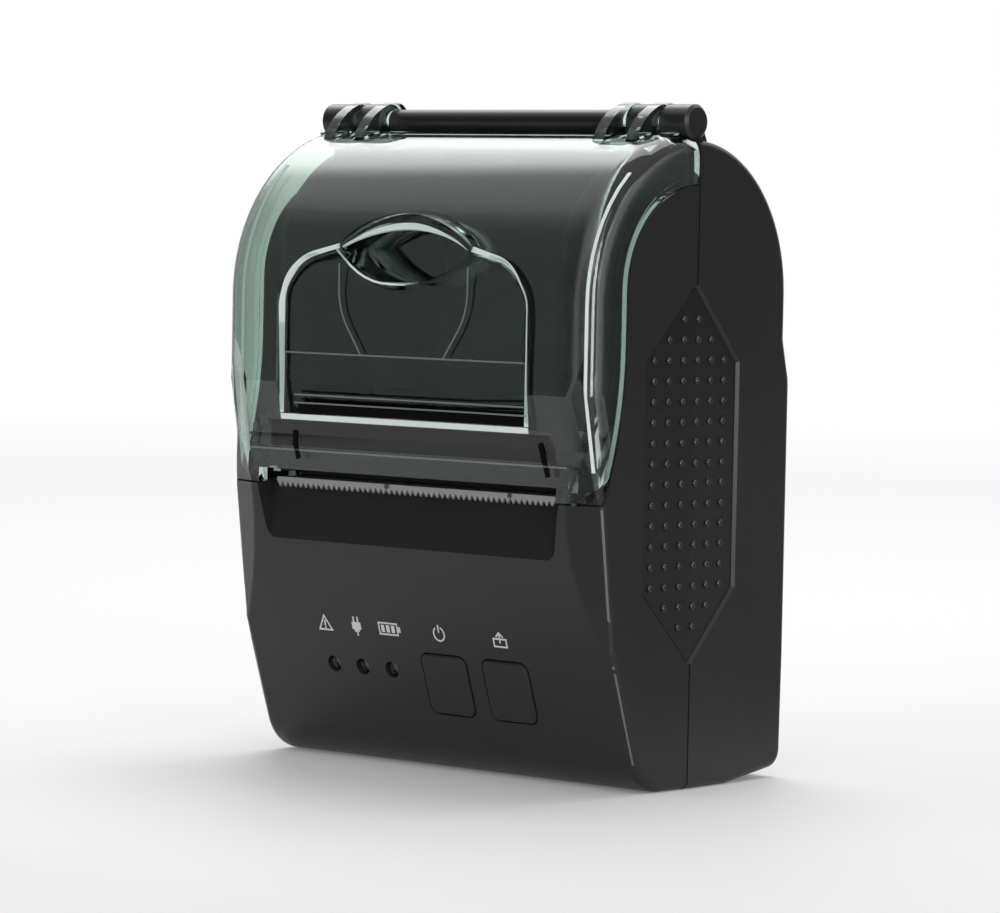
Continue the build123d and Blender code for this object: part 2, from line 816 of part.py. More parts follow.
def tray_box():
    """Inside of the battery tray: X half width, Y front, Z low and high."""
    half = battery_half_width + tray_clearance
    low = battery_low_z - tray_clearance
    high = battery_low_z + battery_height + tray_clearance
    front = battery_front_y - tray_clearance
    return half, front, low, high


def battery_tray():
    half, front, low, high = tray_box()
    outer = slab(
        -half - tray_wall, half + tray_wall, front - tray_wall, back_y - door_thickness - door_gap,
        low - tray_wall, high + tray_wall,
    )
    ledge_y = back_y - door_thickness - door_gap
    edge = door_half_width + door_gap + door_ledge
    outer += slab(
        -edge, edge, ledge_y - tray_wall, back_y - wall / 2,
        door_low_z - door_ledge, door_high_z + door_gap + door_ledge,
    )
    return outer - battery_way()


def battery_way():
    half, front, low, high = tray_box()
    return slab(-half, half, front, back_y + 5, low, high)


def door_pivot():
    """(Y, Z) of the battery door's pins."""
    return (back_y - door_thickness / 2, door_low_z + door_thickness / 2)


def door_cutter():
    """Seat of the battery door in the back, with its pin holes."""
    pivot = door_pivot()
    half = door_half_width + door_gap
    seat = slab(
        -half, half, back_y - door_thickness - door_gap, back_y + 5, pivot[1], door_high_z + door_gap,
    )
    seat += x_rod(pivot[0], pivot[1], door_thickness / 2 + door_gap, -half, half)
    seat += slab(-half, half, pivot[0], back_y + 5, pivot[1] - door_thickness / 2 - door_gap, pivot[1])
    reach = half + door_pin_length
    return seat + x_rod(pivot[0], pivot[1], door_pin_radius + running, -reach, reach)


# Battery

def make_battery_pack():
    block = slab(
        -battery_half_width, battery_half_width, battery_front_y, battery_front_y + battery_thickness,
        battery_low_z, battery_low_z + battery_height,
    )
    return single(fillet(block.edges().filter_by(Axis.Z), 2.5))


def make_battery_door():
    pivot = door_pivot()
    plate = slab(
        -door_half_width, door_half_width, back_y - door_thickness, back_y, pivot[1], door_high_z,
    )
    plate += x_rod(pivot[0], pivot[1], door_thickness / 2, -door_half_width, door_half_width)
    reach = door_half_width + door_gap + door_pin_length - 0.3
    plate += x_rod(pivot[0], pivot[1], door_pin_radius, -reach, reach)
    thumb = Pos(0, back_y + 8.2, door_high_z - 7) * Rot(0, 90, 0) * Cylinder(9.2, 16)
    plate -= thumb
    return single(plate)


def make_battery_contacts():
    half, front, low, high = tray_box()
    strips = []
    for step in range(3):
        x = battery_half_width - 12.0 + 4.0 * step
        strip = slab(x, x + 1.6, front, front + 0.25, high - 9.0, high - 2.0)
        strips.append(strip)
    return Compound(children=strips)


# Hinge rod, grip pads, tear bar

def make_hinge_rod():
    return x_rod(0, hinge_z, rod_radius, -outer_barrel_x[1] + 0.4, outer_barrel_x[1] - 1.5)


def make_grip_pads():
    pads = pad_pocket(0.0, pad_recess, pad_recess + pad_thickness)
    left = [pad for pad in pads if pad.center().X < 0]
    right = [pad for pad in pads if pad.center().X > 0]
    return left[0], right[0]


def tear_top_z():
    return deck_top_z + tear_thickness


def make_tear_bar():
    teeth = int(2 * tear_half_length / tooth_pitch)
    first = -teeth * tooth_pitch / 2
    root_z = tear_tip_z + tooth_height
    points = [(-tear_half_length, tear_top_z()), (-tear_half_length, root_z)]
    for tooth in range(teeth):
        x = first + tooth * tooth_pitch
        points += [(x, root_z), (x + tooth_pitch / 2, tear_tip_z)]
    points += [(first + teeth * tooth_pitch, root_z), (tear_half_length, root_z)]
    points += [(tear_half_length, tear_top_z())]
    blade = front_extrude(
        make_face(Polyline(*points, close=True)), tear_front_y, tear_front_y + tear_thickness,
    )
    shelf = slab(
        -tear_half_length, tear_half_length, tear_front_y + tear_thickness / 2, deck_back_y - 0.4,
        deck_top_z, tear_top_z(),
    )
    return single(blade + shelf)


# Paper bay

def make_paper_bay():
    centre = (bay_y, bay_z)
    outer_radius = bay_radius + bay_wall
    half = bay_half_width + bay_wall
    lid_limit = lid_round_radius - wall - bay_lid_clearance
    disc = Pos(*centre) * Circle(outer_radius)
    keep = Pos(lid_round_y, lid_round_z) * Circle(lid_limit)
    box = Pos(bay_front_y + 30, bay_z) * Rectangle(60, 80)
    side = disc & keep & box
    swept = [centre]
    steps = 8
    for step in range(steps + 1):
        angle = bay_first_angle + (bay_last_angle - bay_first_angle) * step / steps
        swept.append(on_circle(centre, outer_radius * 2, angle))
    wedge = make_face(Polyline(*swept, close=True))
    ring = (Pos(*centre) * (Circle(outer_radius) - Circle(bay_radius))) & wedge
    tub = side_extrude(ring, half)
    for plate in both_sides(slab_from(side, bay_half_width, half)):
        tub += plate
    half_tray, front, low, high = tray_box()
    foot = slab(-12, 12, front + 0.6, front + 4.6, high + tray_wall, bay_z - 14)
    foot -= x_rod(bay_y, bay_z, bay_radius + bay_wall / 2, -20, 20)
    tub += foot
    return single(tub)


def slab_from(sketch, x0, x1):
    """Extrude a (Y, Z) outline between two X places."""
    start = Plane(origin=(x0, 0, 0), x_dir=(0, 1, 0), z_dir=(1, 0, 0))
    return extrude(start * sketch, amount=x1 - x0)


# Platen on the lid

def gear_phases():
    """Turn of each gear so that the teeth are in mesh at rest."""
    platen = (platen_y, platen_z)
    idler = idler_centre()
    pinion = pinion_centre()
    platen_phase = direction(platen, idler)
    idler_phase = direction(idler, platen) + 180.0 / idler_teeth
    towards = direction(idler, pinion)
    teeth_between = (towards - idler_phase) / (360.0 / idler_teeth)
    lead = (teeth_between - round(teeth_between)) * 360.0 / idler_teeth
    pinion_phase = direction(pinion, idler) + 180.0 / pinion_teeth + lead * idler_teeth / pinion_teeth
    return platen_phase, idler_phase, pinion_phase


def make_platen_shaft():
    left = -gear_inner_x - gear_width - 0.3
    right = frame_inner_x + frame_thickness + 0.9
    return x_rod(platen_y, platen_z, shaft_radius, left, right)


def make_platen_roller():
    sleeve = x_rod(platen_y, platen_z, roller_radius, -roller_half_length, roller_half_length)
    return single(sleeve - x_rod(platen_y, platen_z, shaft_radius, -half_width, half_width))


def make_platen_gear():
    phase, _, _ = gear_phases()
    return single(gear_solid((platen_y, platen_z), platen_teeth, phase, shaft_radius + press_room))


def make_platen_bushes():
    bushes = []
    for side in (-1, 1):
        x0 = side * (frame_inner_x + 0.05)
        x1 = side * (frame_inner_x + frame_thickness + 0.3)
        ring = x_rod(platen_y, platen_z, bush_radius, x0, x1)
        ring -= x_rod(platen_y, platen_z, shaft_radius + running, -half_width, half_width)
        bushes.append(single(ring))
    return Compound(children=bushes)


def make_roller_bracket():
    """Arms inside the lid that carry the platen, with a bar along the lip."""
    inner_y = front_top_y + wall + 0.05
    arm = make_face(Polyline(
        (inner_y, exit_top_z + 0.3), (platen_y + 1.0, platen_z - 3.2), (platen_y + 3.0, platen_z),
        (platen_y + 1.5, platen_z + 3.2), (inner_y + 1.6, lid_chin_z + 5.5), (inner_y, lid_chin_z),
        close=True,
    ))
    arms = []
    for side in both_sides(slab_from(arm, roller_half_length + 0.5, frame_inner_x - 0.5)):
        arms.append(side)
    bar = slab(
        -roller_half_length - 1, roller_half_length + 1, inner_y, inner_y + 0.95,
        exit_top_z + 0.3, platen_z - 1.9,
    )
    bracket = bar + arms[0] + arms[1]
    bracket -= x_rod(platen_y, platen_z, shaft_radius + running, -half_width, half_width)
    return single(bracket)


# Drive train

def make_idler_gear():
    _, phase, _ = gear_phases()
    return single(gear_solid(idler_centre(), idler_teeth, phase, axle_radius + running))


def make_idler_axle():
    y, z = idler_centre()
    return x_rod(y, z, axle_radius, -gear_inner_x - gear_width - 0.6, -frame_inner_x - 0.2)


def make_motor_pinion():
    _, _, phase = gear_phases()
    return single(gear_solid(pinion_centre(), pinion_teeth, phase, axle_radius + press_room))


def make_motor_shaft():
    y, z = pinion_centre()
    return x_rod(y, z, axle_radius, -gear_inner_x - gear_width - 0.2, motor_left_x + 3.0)


def make_stepper_motor():
    y, z = pinion_centre()
    can = x_rod(y, z, motor_radius, motor_left_x, motor_left_x + motor_length)
    can -= x_rod(y, z, axle_radius + running, motor_left_x - 1, motor_left_x + 3.2)
    return single(can)


# Print head

def make_heat_sink():
    back = head_length - head_front
    outline = yz_outline([
        head_point(-head_front, head_strip_thickness + running),
        head_point(back, head_strip_thickness + running),
        head_point(back, head_strip_thickness + sink_thickness),
        head_point(-head_front, head_strip_thickness + sink_thickness),
    ])
    pivot = head_point(head_pivot_s, head_pivot_d)
    sink = side_extrude(outline, sink_half_length)
    sink += x_rod(pivot[0], pivot[1], head_pivot_boss, -sink_half_length, sink_half_length)
    sink -= x_rod(pivot[0], pivot[1], axle_radius + running, -half_width, half_width)
    return single(sink)


def make_head_strip():
    outline = yz_outline([
        head_point(-head_front, running), head_point(head_strip_length - head_front, running),
        head_point(head_strip_length - head_front, head_strip_thickness + running),
        head_point(-head_front, head_strip_thickness + running),
    ])
    return side_extrude(outline, sink_half_length - 1)


def make_head_pin():
    pivot = head_point(head_pivot_s, head_pivot_d)
    end = frame_inner_x + frame_thickness
    return x_rod(pivot[0], pivot[1], axle_radius, -end, end)


def spring_places():
    y = (beam_front_y + beam_back_y) / 2
    return ((-12.0, y), (14.0, y))


def make_head_springs():
    springs = []
    for x, y in spring_places():
        radius = 1.5
        low = head_point(0, head_strip_thickness + sink_thickness)
        slope = math.tan(math.radians(head_contact_angle))
        top = low[1] + (y - radius - low[0]) * slope - head_travel_gap
        outline = RegularPolygon(radius, peg_sides) - RegularPolygon(radius - 0.6, peg_sides)
        springs.append(single(extrude(Plane(origin=(x, y, beam_top_z)) * outline, amount=top - beam_top_z)))
    return Compound(children=springs)


# Mechanism frame

def make_mechanism_frame():
    leave = platen_leaving()
    pinion = pinion_centre()
    idler = idler_centre()
    pivot = head_point(head_pivot_s, head_pivot_d)
    side = yz_outline([
        (frame_front_y + 3.5, frame_foot_z), (frame_back_y, frame_foot_z), (frame_back_y, pivot[1] + 1.5),
        (pivot[0] + 2.5, frame_top_z - 1.5), (platen_y + 3.2, frame_top_z), (platen_y - 1.0, frame_top_z),
        (platen_y - 2.6, platen_z + 3.0), (platen_y - 2.6, deck_top_z + 1.2),
        (frame_front_y, deck_top_z + 1.2),
        (frame_front_y, frame_foot_z + 4),
    ])
    frame = None
    for plate in both_sides(slab_from(side, frame_inner_x, frame_inner_x + frame_thickness)):
        frame = plate if frame is None else frame + plate
    end = frame_inner_x + frame_thickness
    base_top_z = frame_foot_z + frame_base_thickness
    frame += slab(-end, end, frame_front_y + 5.6, frame_back_y, frame_foot_z, base_top_z)
    post_x = motor_left_x + motor_length + 0.7
    frame += slab(post_x, post_x + 1.6, beam_front_y, beam_back_y, frame_foot_z, beam_top_z)
    frame += slab(post_x, end, beam_front_y, beam_back_y, beam_top_z - beam_thickness, beam_top_z)
    foot_x = (post_x, post_x + 1.6)
    frame += slab(foot_x[0], foot_x[1], frame_front_y + 3.6, beam_back_y, frame_foot_z, base_top_z)

    jaw = bush_radius + running
    frame -= x_rod(platen_y, platen_z, jaw, -half_width, half_width)
    reach = 12.0
    slot_half = jaw + 0.35
    normal = (-leave[1], leave[0])
    start = (platen_y + leave[0] * 0.4, platen_z + leave[1] * 0.4)
    far = (start[0] + leave[0] * reach, start[1] + leave[1] * reach)
    slot = yz_outline([
        (start[0] + normal[0] * jaw, start[1] + normal[1] * jaw),
        (far[0] + normal[0] * slot_half, far[1] + normal[1] * slot_half),
        (far[0] - normal[0] * slot_half, far[1] - normal[1] * slot_half),
        (start[0] - normal[0] * jaw, start[1] - normal[1] * jaw),
    ])
    frame -= side_extrude(slot, half_width)
    frame -= x_rod(pivot[0], pivot[1], axle_radius, -half_width, half_width)
    frame -= x_rod(idler[0], idler[1], axle_radius, -half_width, 0)
    frame -= x_rod(pinion[0], pinion[1], axle_radius + 0.4, -half_width, -frame_inner_x + 1)
    return single(frame)


# Board, buttons and lights

def make_main_board():
    middle = (board_low + board_high) / 2
    height = board_high - board_low
    board = panel_block(0, middle, 2 * board_half_width, height, board_depth, board_depth + board_thickness)
    for x, up in board_fixings():
        board -= panel_peg(x, up, 1.1, board_depth - 1, board_depth + board_thickness + 1, peg_sides)
    return single(board)


def make_board_screws():
    screws = []
    back = board_depth + board_thickness
    for x, up in board_fixings():
        screw = panel_peg(x, up, 1.8, back, back + 1.3, peg_sides)
        screw += panel_peg(x, up, 0.8, 3.0, back + 0.2, peg_sides)
        screws.append(single(screw))
    return Compound(children=screws)


def make_button(x):
    cap = panel_block(x, 0, button_width, button_height, -button_proud, wall + 0.3, button_corner)
    front_edges = edges_by(cap, lambda p: abs(panel_depth(p) + button_proud) < 0.01)
    cap = chamfer(front_edges, 0.25)
    flange_width = button_width + 2 * button_flange
    flange_height = button_height + 2 * button_flange
    flange_start = wall + 0.3
    cap += panel_block(
        x, 0, flange_width, flange_height, flange_start, flange_start + button_flange_thickness,
    )
    cap += panel_block(x, 0, stem_width, stem_width, flange_start, stem_end())
    return single(cap)


def panel_depth(p):
    """Distance of a point below the outside of the button panel."""
    plane = panel_plane()
    return -(Vector(p.X, p.Y, p.Z) - plane.origin).dot(plane.z_dir)


def make_switches():
    bodies = []
    for _, x in button_positions():
        body = panel_block(x, 0, switch_size, switch_size, board_depth - switch_height, board_depth)
        body -= panel_peg(x, 0, plunger_radius + 0.1, 0, board_depth - 0.3, peg_sides)
        bodies.append(single(body))
    return Compound(children=bodies)


def stem_end():
    """Depth where the button's stem meets the switch plunger."""
    return board_depth - switch_height - plunger_stand


def make_plunger(x):
    return single(panel_peg(x, 0, plunger_radius, stem_end(), board_depth - button_travel - 0.5, peg_sides))


def make_light_pipes():
    pipes = []
    for x in light_xs:
        pipe = panel_peg(x, light_up, light_pipe_radius, light_recess, board_depth - 0.8, 2 * peg_sides)
        pipe += panel_peg(x, light_up, light_pipe_radius + 0.6, wall + 0.1, wall + 0.9, peg_sides)
        pipes.append(single(pipe))
    return Compound(children=pipes)


def make_status_leds():
    leds = [panel_block(x, light_up, 2.0, 1.2, board_depth - 0.6, board_depth) for x in light_xs]
    return Compound(children=leds)


def make_charging_socket():
    outer = half_width_at(panel_y(panel_z)) - wall - 0.4
    middle = -(outer - socket_length / 2)
    low = board_depth - socket_height
    body = panel_block(middle, socket_up, socket_length, socket_width, low, board_depth)
    hollow = panel_block(
        middle - 1.2, socket_up, socket_length, socket_width - 0.8, low + 0.4, board_depth - 0.4,
    )
    tongue = panel_block(
        middle, socket_up, socket_length - 1.0, socket_width - 2.6, board_depth - socket_height / 2 - 0.35,
        board_depth - socket_height / 2 + 0.35,
    )
    return single(body - hollow + tongue)


def make_radio_module():
    back = board_depth + board_thickness
    return single(panel_block(14.6 - board_half_width, 4.4, 13.0, 15.0, back, back + 2.2))


def make_capacitors():
    back = board_depth + board_thickness
    cans = [panel_peg(x, 4.5, 3.15, back, back + 7.7, 2 * peg_sides) for x in (13.0, 21.0)]
    return Compound(children=cans)


def make_buzzer():
    back = board_depth + board_thickness
    shell = panel_peg(1.0, 1.0, 4.5, back, back + 4.0, 2 * peg_sides)
    shell -= panel_peg(1.0, 1.0, 0.9, back + 2.0, back + 5.0, peg_sides)
    return single(shell)


def make_paper_sensor():
    top = bay_z - bay_radius - bay_wall
    return slab(8.0, 12.0, -3.2, 0.4, top - 1.6, top)


def make_case_screws():
    screws = []
    for x in screw_xs:
        for z in screw_zs:
            screw = y_peg(x, z, screw_radius, screw_grip_y, screw_seat_y)
            screw += y_peg(x, z, screw_head_radius, screw_seat_y, screw_seat_y + screw_head_height)
            screws.append(single(screw))
    return Compound(children=screws)


def build_parts():
    left_pad, right_pad = make_grip_pads()
    return {
        "front_case": make_front_case(),
        "rear_case": make_rear_case(),
        "hinge_rod": make_hinge_rod(),
        "left_grip_pad": left_pad,
        "right_grip_pad": right_pad,
        "case_screws": make_case_screws(),
        "tear_bar": make_tear_bar(),
        "paper_bay": make_paper_bay(),
        "paper_sensor": make_paper_sensor(),
        "mechanism_frame": make_mechanism_frame(),
        "stepper_motor": make_stepper_motor(),
        "idler_axle": make_idler_axle(),
        "head_pin": make_head_pin(),
        "head_springs": make_head_springs(),
        "main_board": make_main_board(),
        "board_screws": make_board_screws(),
        "button_switches": make_switches(),
        "light_pipes": make_light_pipes(),
        "status_leds": make_status_leds(),
        "charging_socket": make_charging_socket(),
        "radio_module": make_radio_module(),
        "board_capacitors": make_capacitors(),
        "buzzer": make_buzzer(),
        "battery_contacts": make_battery_contacts(),
        "battery_pack": make_battery_pack(),
        "battery_door": make_battery_door(),
        "lid": make_lid(),
        "roller_bracket": make_roller_bracket(),
        "platen_bushes": make_platen_bushes(),
        "platen_shaft": make_platen_shaft(),
        "platen_roller": make_platen_roller(),
        "platen_gear": make_platen_gear(),
        "idler_gear": make_idler_gear(),
        "motor_pinion": make_motor_pinion(),
        "motor_shaft": make_motor_shaft(),
        "heat_sink": make_heat_sink(),
        "head_strip": make_head_strip(),
        "power_button": make_button(power_x),
        "power_plunger": make_plunger(power_x),
        "feed_button": make_button(feed_x),
        "feed_plunger": make_plunger(feed_x),
    }


os.makedirs("parts", exist_ok=True)
for name, shape in build_parts().items():
    export_step(shape, f"parts/{name}.step")
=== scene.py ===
import bpy
import math
from mathutils import Matrix, Vector


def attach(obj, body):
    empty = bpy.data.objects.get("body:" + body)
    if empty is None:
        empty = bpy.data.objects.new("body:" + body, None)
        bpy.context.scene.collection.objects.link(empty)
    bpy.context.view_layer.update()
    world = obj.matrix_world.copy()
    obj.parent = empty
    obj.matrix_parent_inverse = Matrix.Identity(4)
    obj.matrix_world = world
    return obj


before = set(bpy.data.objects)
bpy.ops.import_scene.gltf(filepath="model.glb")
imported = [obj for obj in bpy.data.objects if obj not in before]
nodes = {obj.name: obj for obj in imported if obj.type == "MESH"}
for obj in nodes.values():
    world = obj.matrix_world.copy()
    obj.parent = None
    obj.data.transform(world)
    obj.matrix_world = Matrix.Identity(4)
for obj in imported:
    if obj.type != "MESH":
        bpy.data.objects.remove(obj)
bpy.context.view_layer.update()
MM = 0.001

# The camera of the photograph: its place in metres, its angles in degrees, its lens in millimetres
CAMERA_AT = (0.496032, -0.562333, 0.090277)
CAMERA_TURN = 41.44
CAMERA_RISE = 3.04
CAMERA_ROLL = 1.15
LENS = 166.59

# The studio, in metres. The sky and the floor are plain white to the camera and weaker as lights.
SKY_LEVEL = 0.55
FLOOR_SIZE = 8
FLOOR_LIFT = 0.12
FLOOR_NEAR = 0.35                         # the floor fades to plain white from here
FLOOR_FAR = 1.3                           # to here
FLOOR_CARD_Z = 0.002
CARD_SOLID = 0.22                         # a card fades from this part of its size
CARD_CLEAR = 0.5                          # to this part
CROWN_STRENGTH = 4.0
EDGE_STRENGTH = 14.0
FLOOR_COVER = 0.7
MIDDLE = (0, 0, 0.055)                    # of the printer

# Places on the printer, in millimetres, as the source has them
GRIP_COLUMNS = (-9.47, -5.99, -2.51, 0.97, 4.45, 7.93)
GRIP_TOP_ROW = 67.5
GRIP_PITCH = 3.22
HALF_WIDTH = 40.0
FRONT_DRAFT = 1.06
REAR_DRAFT = 2.87
GRIP_SINK = 0.5
GRIP_TIP_Z = 83.9
GRIP_LIP = (65.1, 23.05, 57.8, 29.3)    # centre and radius of the outer and inner round
GRIP_LIP_LEAN = 21.0
GRIP_LIP_Y = -24.0
DOT_RADIUS = 0.62
DOT_FOOT = -0.08
DOT_FLATTEN = 0.8
LIP_DEPTH = 0.5
FRONT_PLANE = -40.0                       # flat shapes are made here and pressed back on a surface
GUIDE_AT = (0, -22.0, 53.7)
GUIDE_SIZE = (60, 0.5, 4.4)
GUIDE_EDGE = 0.15
RIVET_X = {"left": -5.6, "right": 20.6}
RIVET_Z = 45.95
RIVET_SIZE = (0.38, 0.3)                  # radius and depth
RIVET_BACK = 18.62                        # from the front plane to the tear bar
# The painted highlight lines along the two front corners of the case
CHEEK_HIGHLIGHTS = ((39.28, 32.4, 0.26, 24.8), (39.33, 12.0, 0.2, 14.6))    # X, Z, width, height
SIGN_X = {"warning": -20.9, "plug": -13.9, "battery": -6.7, "power": 4.1, "feed": 17.0}
SIGN_Z = 22.9
SIGN_LINE = 0.26
RING_SWEEP = 290                          # degrees of the power sign's ring
RING_TURN = 125


# Tools

def start_clean():
    if bpy.context.object and bpy.context.object.mode != "OBJECT":
        bpy.ops.object.mode_set(mode="OBJECT")
    bpy.ops.object.select_all(action="DESELECT")


def keep(piece, name, material, body):
    """Name a finished piece, give it its finish and let it move with its body."""
    start_clean()
    piece.select_set(True)
    bpy.context.view_layer.objects.active = piece
    bpy.ops.object.transform_apply(location=True, rotation=True, scale=True)
    piece.name = name
    piece.data.name = name
    piece.data.materials.clear()
    piece.data.materials.append(material)
    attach(piece, body)
    return piece


def join(pieces):
    start_clean()
    for piece in pieces:
        piece.select_set(True)
    bpy.context.view_layer.objects.active = pieces[0]
    bpy.ops.object.join()
    return bpy.context.view_layer.objects.active


def copy_of(piece, matrix):
    twin = piece.copy()
    twin.data = piece.data.copy()
    twin.matrix_world = matrix
    bpy.context.scene.collection.objects.link(twin)
    return twin


# Finishes

def socket(group, name, kind, way, default=None):
    made = group.interface.new_socket(name=name, in_out=way, socket_type=kind)
    if default is not None:
        made.default_value = default
    return made


def moulded_skin_group():
    """Fine spark texture, slow tone drift and a roughness that varies with it."""
    group = bpy.data.node_groups.new("moulded_skin", "ShaderNodeTree")
    socket(group, "Colour", "NodeSocketColor", "INPUT", (0.03, 0.03, 0.03, 1))
    socket(group, "Grain size", "NodeSocketFloat", "INPUT", 0.25)
    socket(group, "Grain depth", "NodeSocketFloat", "INPUT", 0.1)
    socket(group, "Roughness", "NodeSocketFloat", "INPUT", 0.5)
    socket(group, "Roughness spread", "NodeSocketFloat", "INPUT", 0.06)
    socket(group, "Colour", "NodeSocketColor", "OUTPUT")
    socket(group, "Roughness", "NodeSocketFloat", "OUTPUT")
    socket(group, "Normal", "NodeSocketVector", "OUTPUT")
    tree = group.nodes
    link = group.links.new
    inputs = tree.new("NodeGroupInput")
    outputs = tree.new("NodeGroupOutput")
    where = tree.new("ShaderNodeTexCoord")
    per_metre = tree.new("ShaderNodeMath")
    per_metre.operation = "DIVIDE"
    per_metre.inputs[0].default_value = 1000
    link(inputs.outputs["Grain size"], per_metre.inputs[1])
    grain = tree.new("ShaderNodeTexNoise")
    grain.inputs["Detail"].default_value = 2
    link(where.outputs["Object"], grain.inputs["Vector"])
    link(per_metre.outputs[0], grain.inputs["Scale"])
    drift = tree.new("ShaderNodeTexNoise")
    drift.inputs["Scale"].default_value = 45
    drift.inputs["Detail"].default_value = 3
    link(where.outputs["Object"], drift.inputs["Vector"])
    bump = tree.new("ShaderNodeBump")
    bump.inputs["Distance"].default_value = 0.0001
    link(inputs.outputs["Grain depth"], bump.inputs["Strength"])
    link(grain.outputs["Fac"], bump.inputs["Height"])
    link(bump.outputs["Normal"], outputs.inputs["Normal"])
    shade = tree.new("ShaderNodeMapRange")
    shade.inputs["To Min"].default_value = 0.9
    shade.inputs["To Max"].default_value = 1.1
    link(drift.outputs["Fac"], shade.inputs["Value"])
    tint = tree.new("ShaderNodeVectorMath")
    tint.operation = "SCALE"
    link(inputs.outputs["Colour"], tint.inputs[0])
    link(shade.outputs["Result"], tint.inputs["Scale"])
    link(tint.outputs["Vector"], outputs.inputs["Colour"])
    centred = tree.new("ShaderNodeMath")
    centred.operation = "SUBTRACT"
    centred.inputs[1].default_value = 0.5
    link(drift.outputs["Fac"], centred.inputs[0])
    spread = tree.new("ShaderNodeMath")
    spread.operation = "MULTIPLY_ADD"
    link(centred.outputs[0], spread.inputs[0])
    link(inputs.outputs["Roughness spread"], spread.inputs[1])
    link(inputs.outputs["Roughness"], spread.inputs[2])
    link(spread.outputs[0], outputs.inputs["Roughness"])
    return group


SKIN = moulded_skin_group()


def finish(name, colour, roughness, grain=0.25, depth=0.1, spread=0.06, metallic=0.0, specular=0.3):
    """A surface with the moulded skin at its own size, depth and tone."""
    material = bpy.data.materials.new(name)
    material.use_nodes = True
    tree = material.node_tree
    shader = tree.nodes["Principled BSDF"]
    skin = tree.nodes.new("ShaderNodeGroup")
    skin.node_tree = SKIN
    skin.inputs["Colour"].default_value = (*colour, 1)
    skin.inputs["Grain size"].default_value = grain
    skin.inputs["Grain depth"].default_value = depth
    skin.inputs["Roughness"].default_value = roughness
    skin.inputs["Roughness spread"].default_value = spread
    tree.links.new(skin.outputs["Colour"], shader.inputs["Base Color"])
    tree.links.new(skin.outputs["Roughness"], shader.inputs["Roughness"])
    tree.links.new(skin.outputs["Normal"], shader.inputs["Normal"])
    shader.inputs["Metallic"].default_value = metallic
    shader.inputs["Specular IOR Level"].default_value = specular
    return material


def painted_end_shade_group():
    """Painted shade: darkens a colour towards the two ends of the lid."""
    group = bpy.data.node_groups.new("painted_end_shade", "ShaderNodeTree")
    socket(group, "Colour", "NodeSocketColor", "INPUT", (1, 1, 1, 1))
    socket(group, "Depth", "NodeSocketFloat", "INPUT", 0.0)
    socket(group, "Colour", "NodeSocketColor", "OUTPUT")
    tree = group.nodes
    link = group.links.new
    inputs = tree.new("NodeGroupInput")
    outputs = tree.new("NodeGroupOutput")
    where = tree.new("ShaderNodeTexCoord")
    split = tree.new("ShaderNodeSeparateXYZ")
    link(where.outputs["Object"], split.inputs[0])
    across = tree.new("ShaderNodeMath")
    across.operation = "ABSOLUTE"
    link(split.outputs["X"], across.inputs[0])
    masks = []
    for source, start, end in ((across.outputs[0], 31, 36), (split.outputs["Z"], 97, 90)):
        mask = tree.new("ShaderNodeMapRange")
        mask.interpolation_type = "SMOOTHSTEP"
        mask.inputs["From Min"].default_value = start * MM
        mask.inputs["From Max"].default_value = end * MM
        link(source, mask.inputs["Value"])
        masks.append(mask)
    both = tree.new("ShaderNodeMath")
    both.operation = "MULTIPLY"
    link(masks[0].outputs["Result"], both.inputs[0])
    link(masks[1].outputs["Result"], both.inputs[1])
    end_shading = tree.new("ShaderNodeMath")
    end_shading.operation = "MULTIPLY_ADD"
    link(both.outputs[0], end_shading.inputs[0])
    link(inputs.outputs["Depth"], end_shading.inputs[1])
    end_shading.inputs[2].default_value = 1.0
    tint = tree.new("ShaderNodeVectorMath")
    tint.operation = "SCALE"
    link(inputs.outputs["Colour"], tint.inputs[0])
    link(end_shading.outputs[0], tint.inputs["Scale"])
    link(tint.outputs["Vector"], outputs.inputs["Colour"])
    return group


END_SHADE_GROUP = painted_end_shade_group()


def clear_plastic(name, colour, roughness, ior=1.49, specular=0.4, end_shading=0.0):
    """Clear polished moulding with a little drift of tone and polish."""
    material = finish(name, colour, roughness, spread=0.03, specular=specular)
    tree = material.node_tree
    shader = tree.nodes["Principled BSDF"]
    tree.links.remove(shader.inputs["Normal"].links[0])
    # Painted shade: the colour darkens towards the two ends of the lid by the given amount
    ends = tree.nodes.new("ShaderNodeGroup")
    ends.node_tree = END_SHADE_GROUP
    ends.inputs["Depth"].default_value = -end_shading
    skin_colour = shader.inputs["Base Color"].links[0].from_socket
    tree.links.new(skin_colour, ends.inputs["Colour"])
    tree.links.new(ends.outputs["Colour"], shader.inputs["Base Color"])
    shader.inputs["IOR"].default_value = ior
    shader.inputs["Transmission Weight"].default_value = 1.0
    return material


case_black = finish("case_black", (0.026, 0.026, 0.0266), 0.26, 0.22, 0.1)
rear_black = finish("rear_black", (0.026, 0.026, 0.0266), 0.27, 0.22, 0.1)
door_black = finish("door_black", (0.017, 0.017, 0.0175), 0.44, 0.22, 0.14)
grip_rubber = finish("grip_rubber", (0.020, 0.020, 0.0205), 0.27, 0.3, 0.08, specular=0.4)
dot_rubber = finish("dot_rubber", (0.020, 0.020, 0.0205), 0.17, 0.3, 0.03, specular=0.5)
# Painted highlight: a lighter grey for the lines along the front corners of the case
painted_edge_highlight = finish("painted_edge_highlight", (0.16, 0.16, 0.162), 0.2, 0.3, 0.02, specular=0.5)
button_black = finish("button_black", (0.024, 0.024, 0.025), 0.36, 0.18, 0.06)
rod_black = finish("rod_black", (0.018, 0.018, 0.019), 0.32, 0.15, 0.05)
inner_black = finish("inner_black", (0.010, 0.0105, 0.0105), 0.6, 0.25, 0.1, specular=0.15)
roller_rubber = finish("roller_rubber", (0.07, 0.076, 0.073), 0.5, 0.3, 0.0)
bar_steel = finish("bar_steel", (0.40, 0.41, 0.405), 0.42, 0.1, 0.1, metallic=0.6)
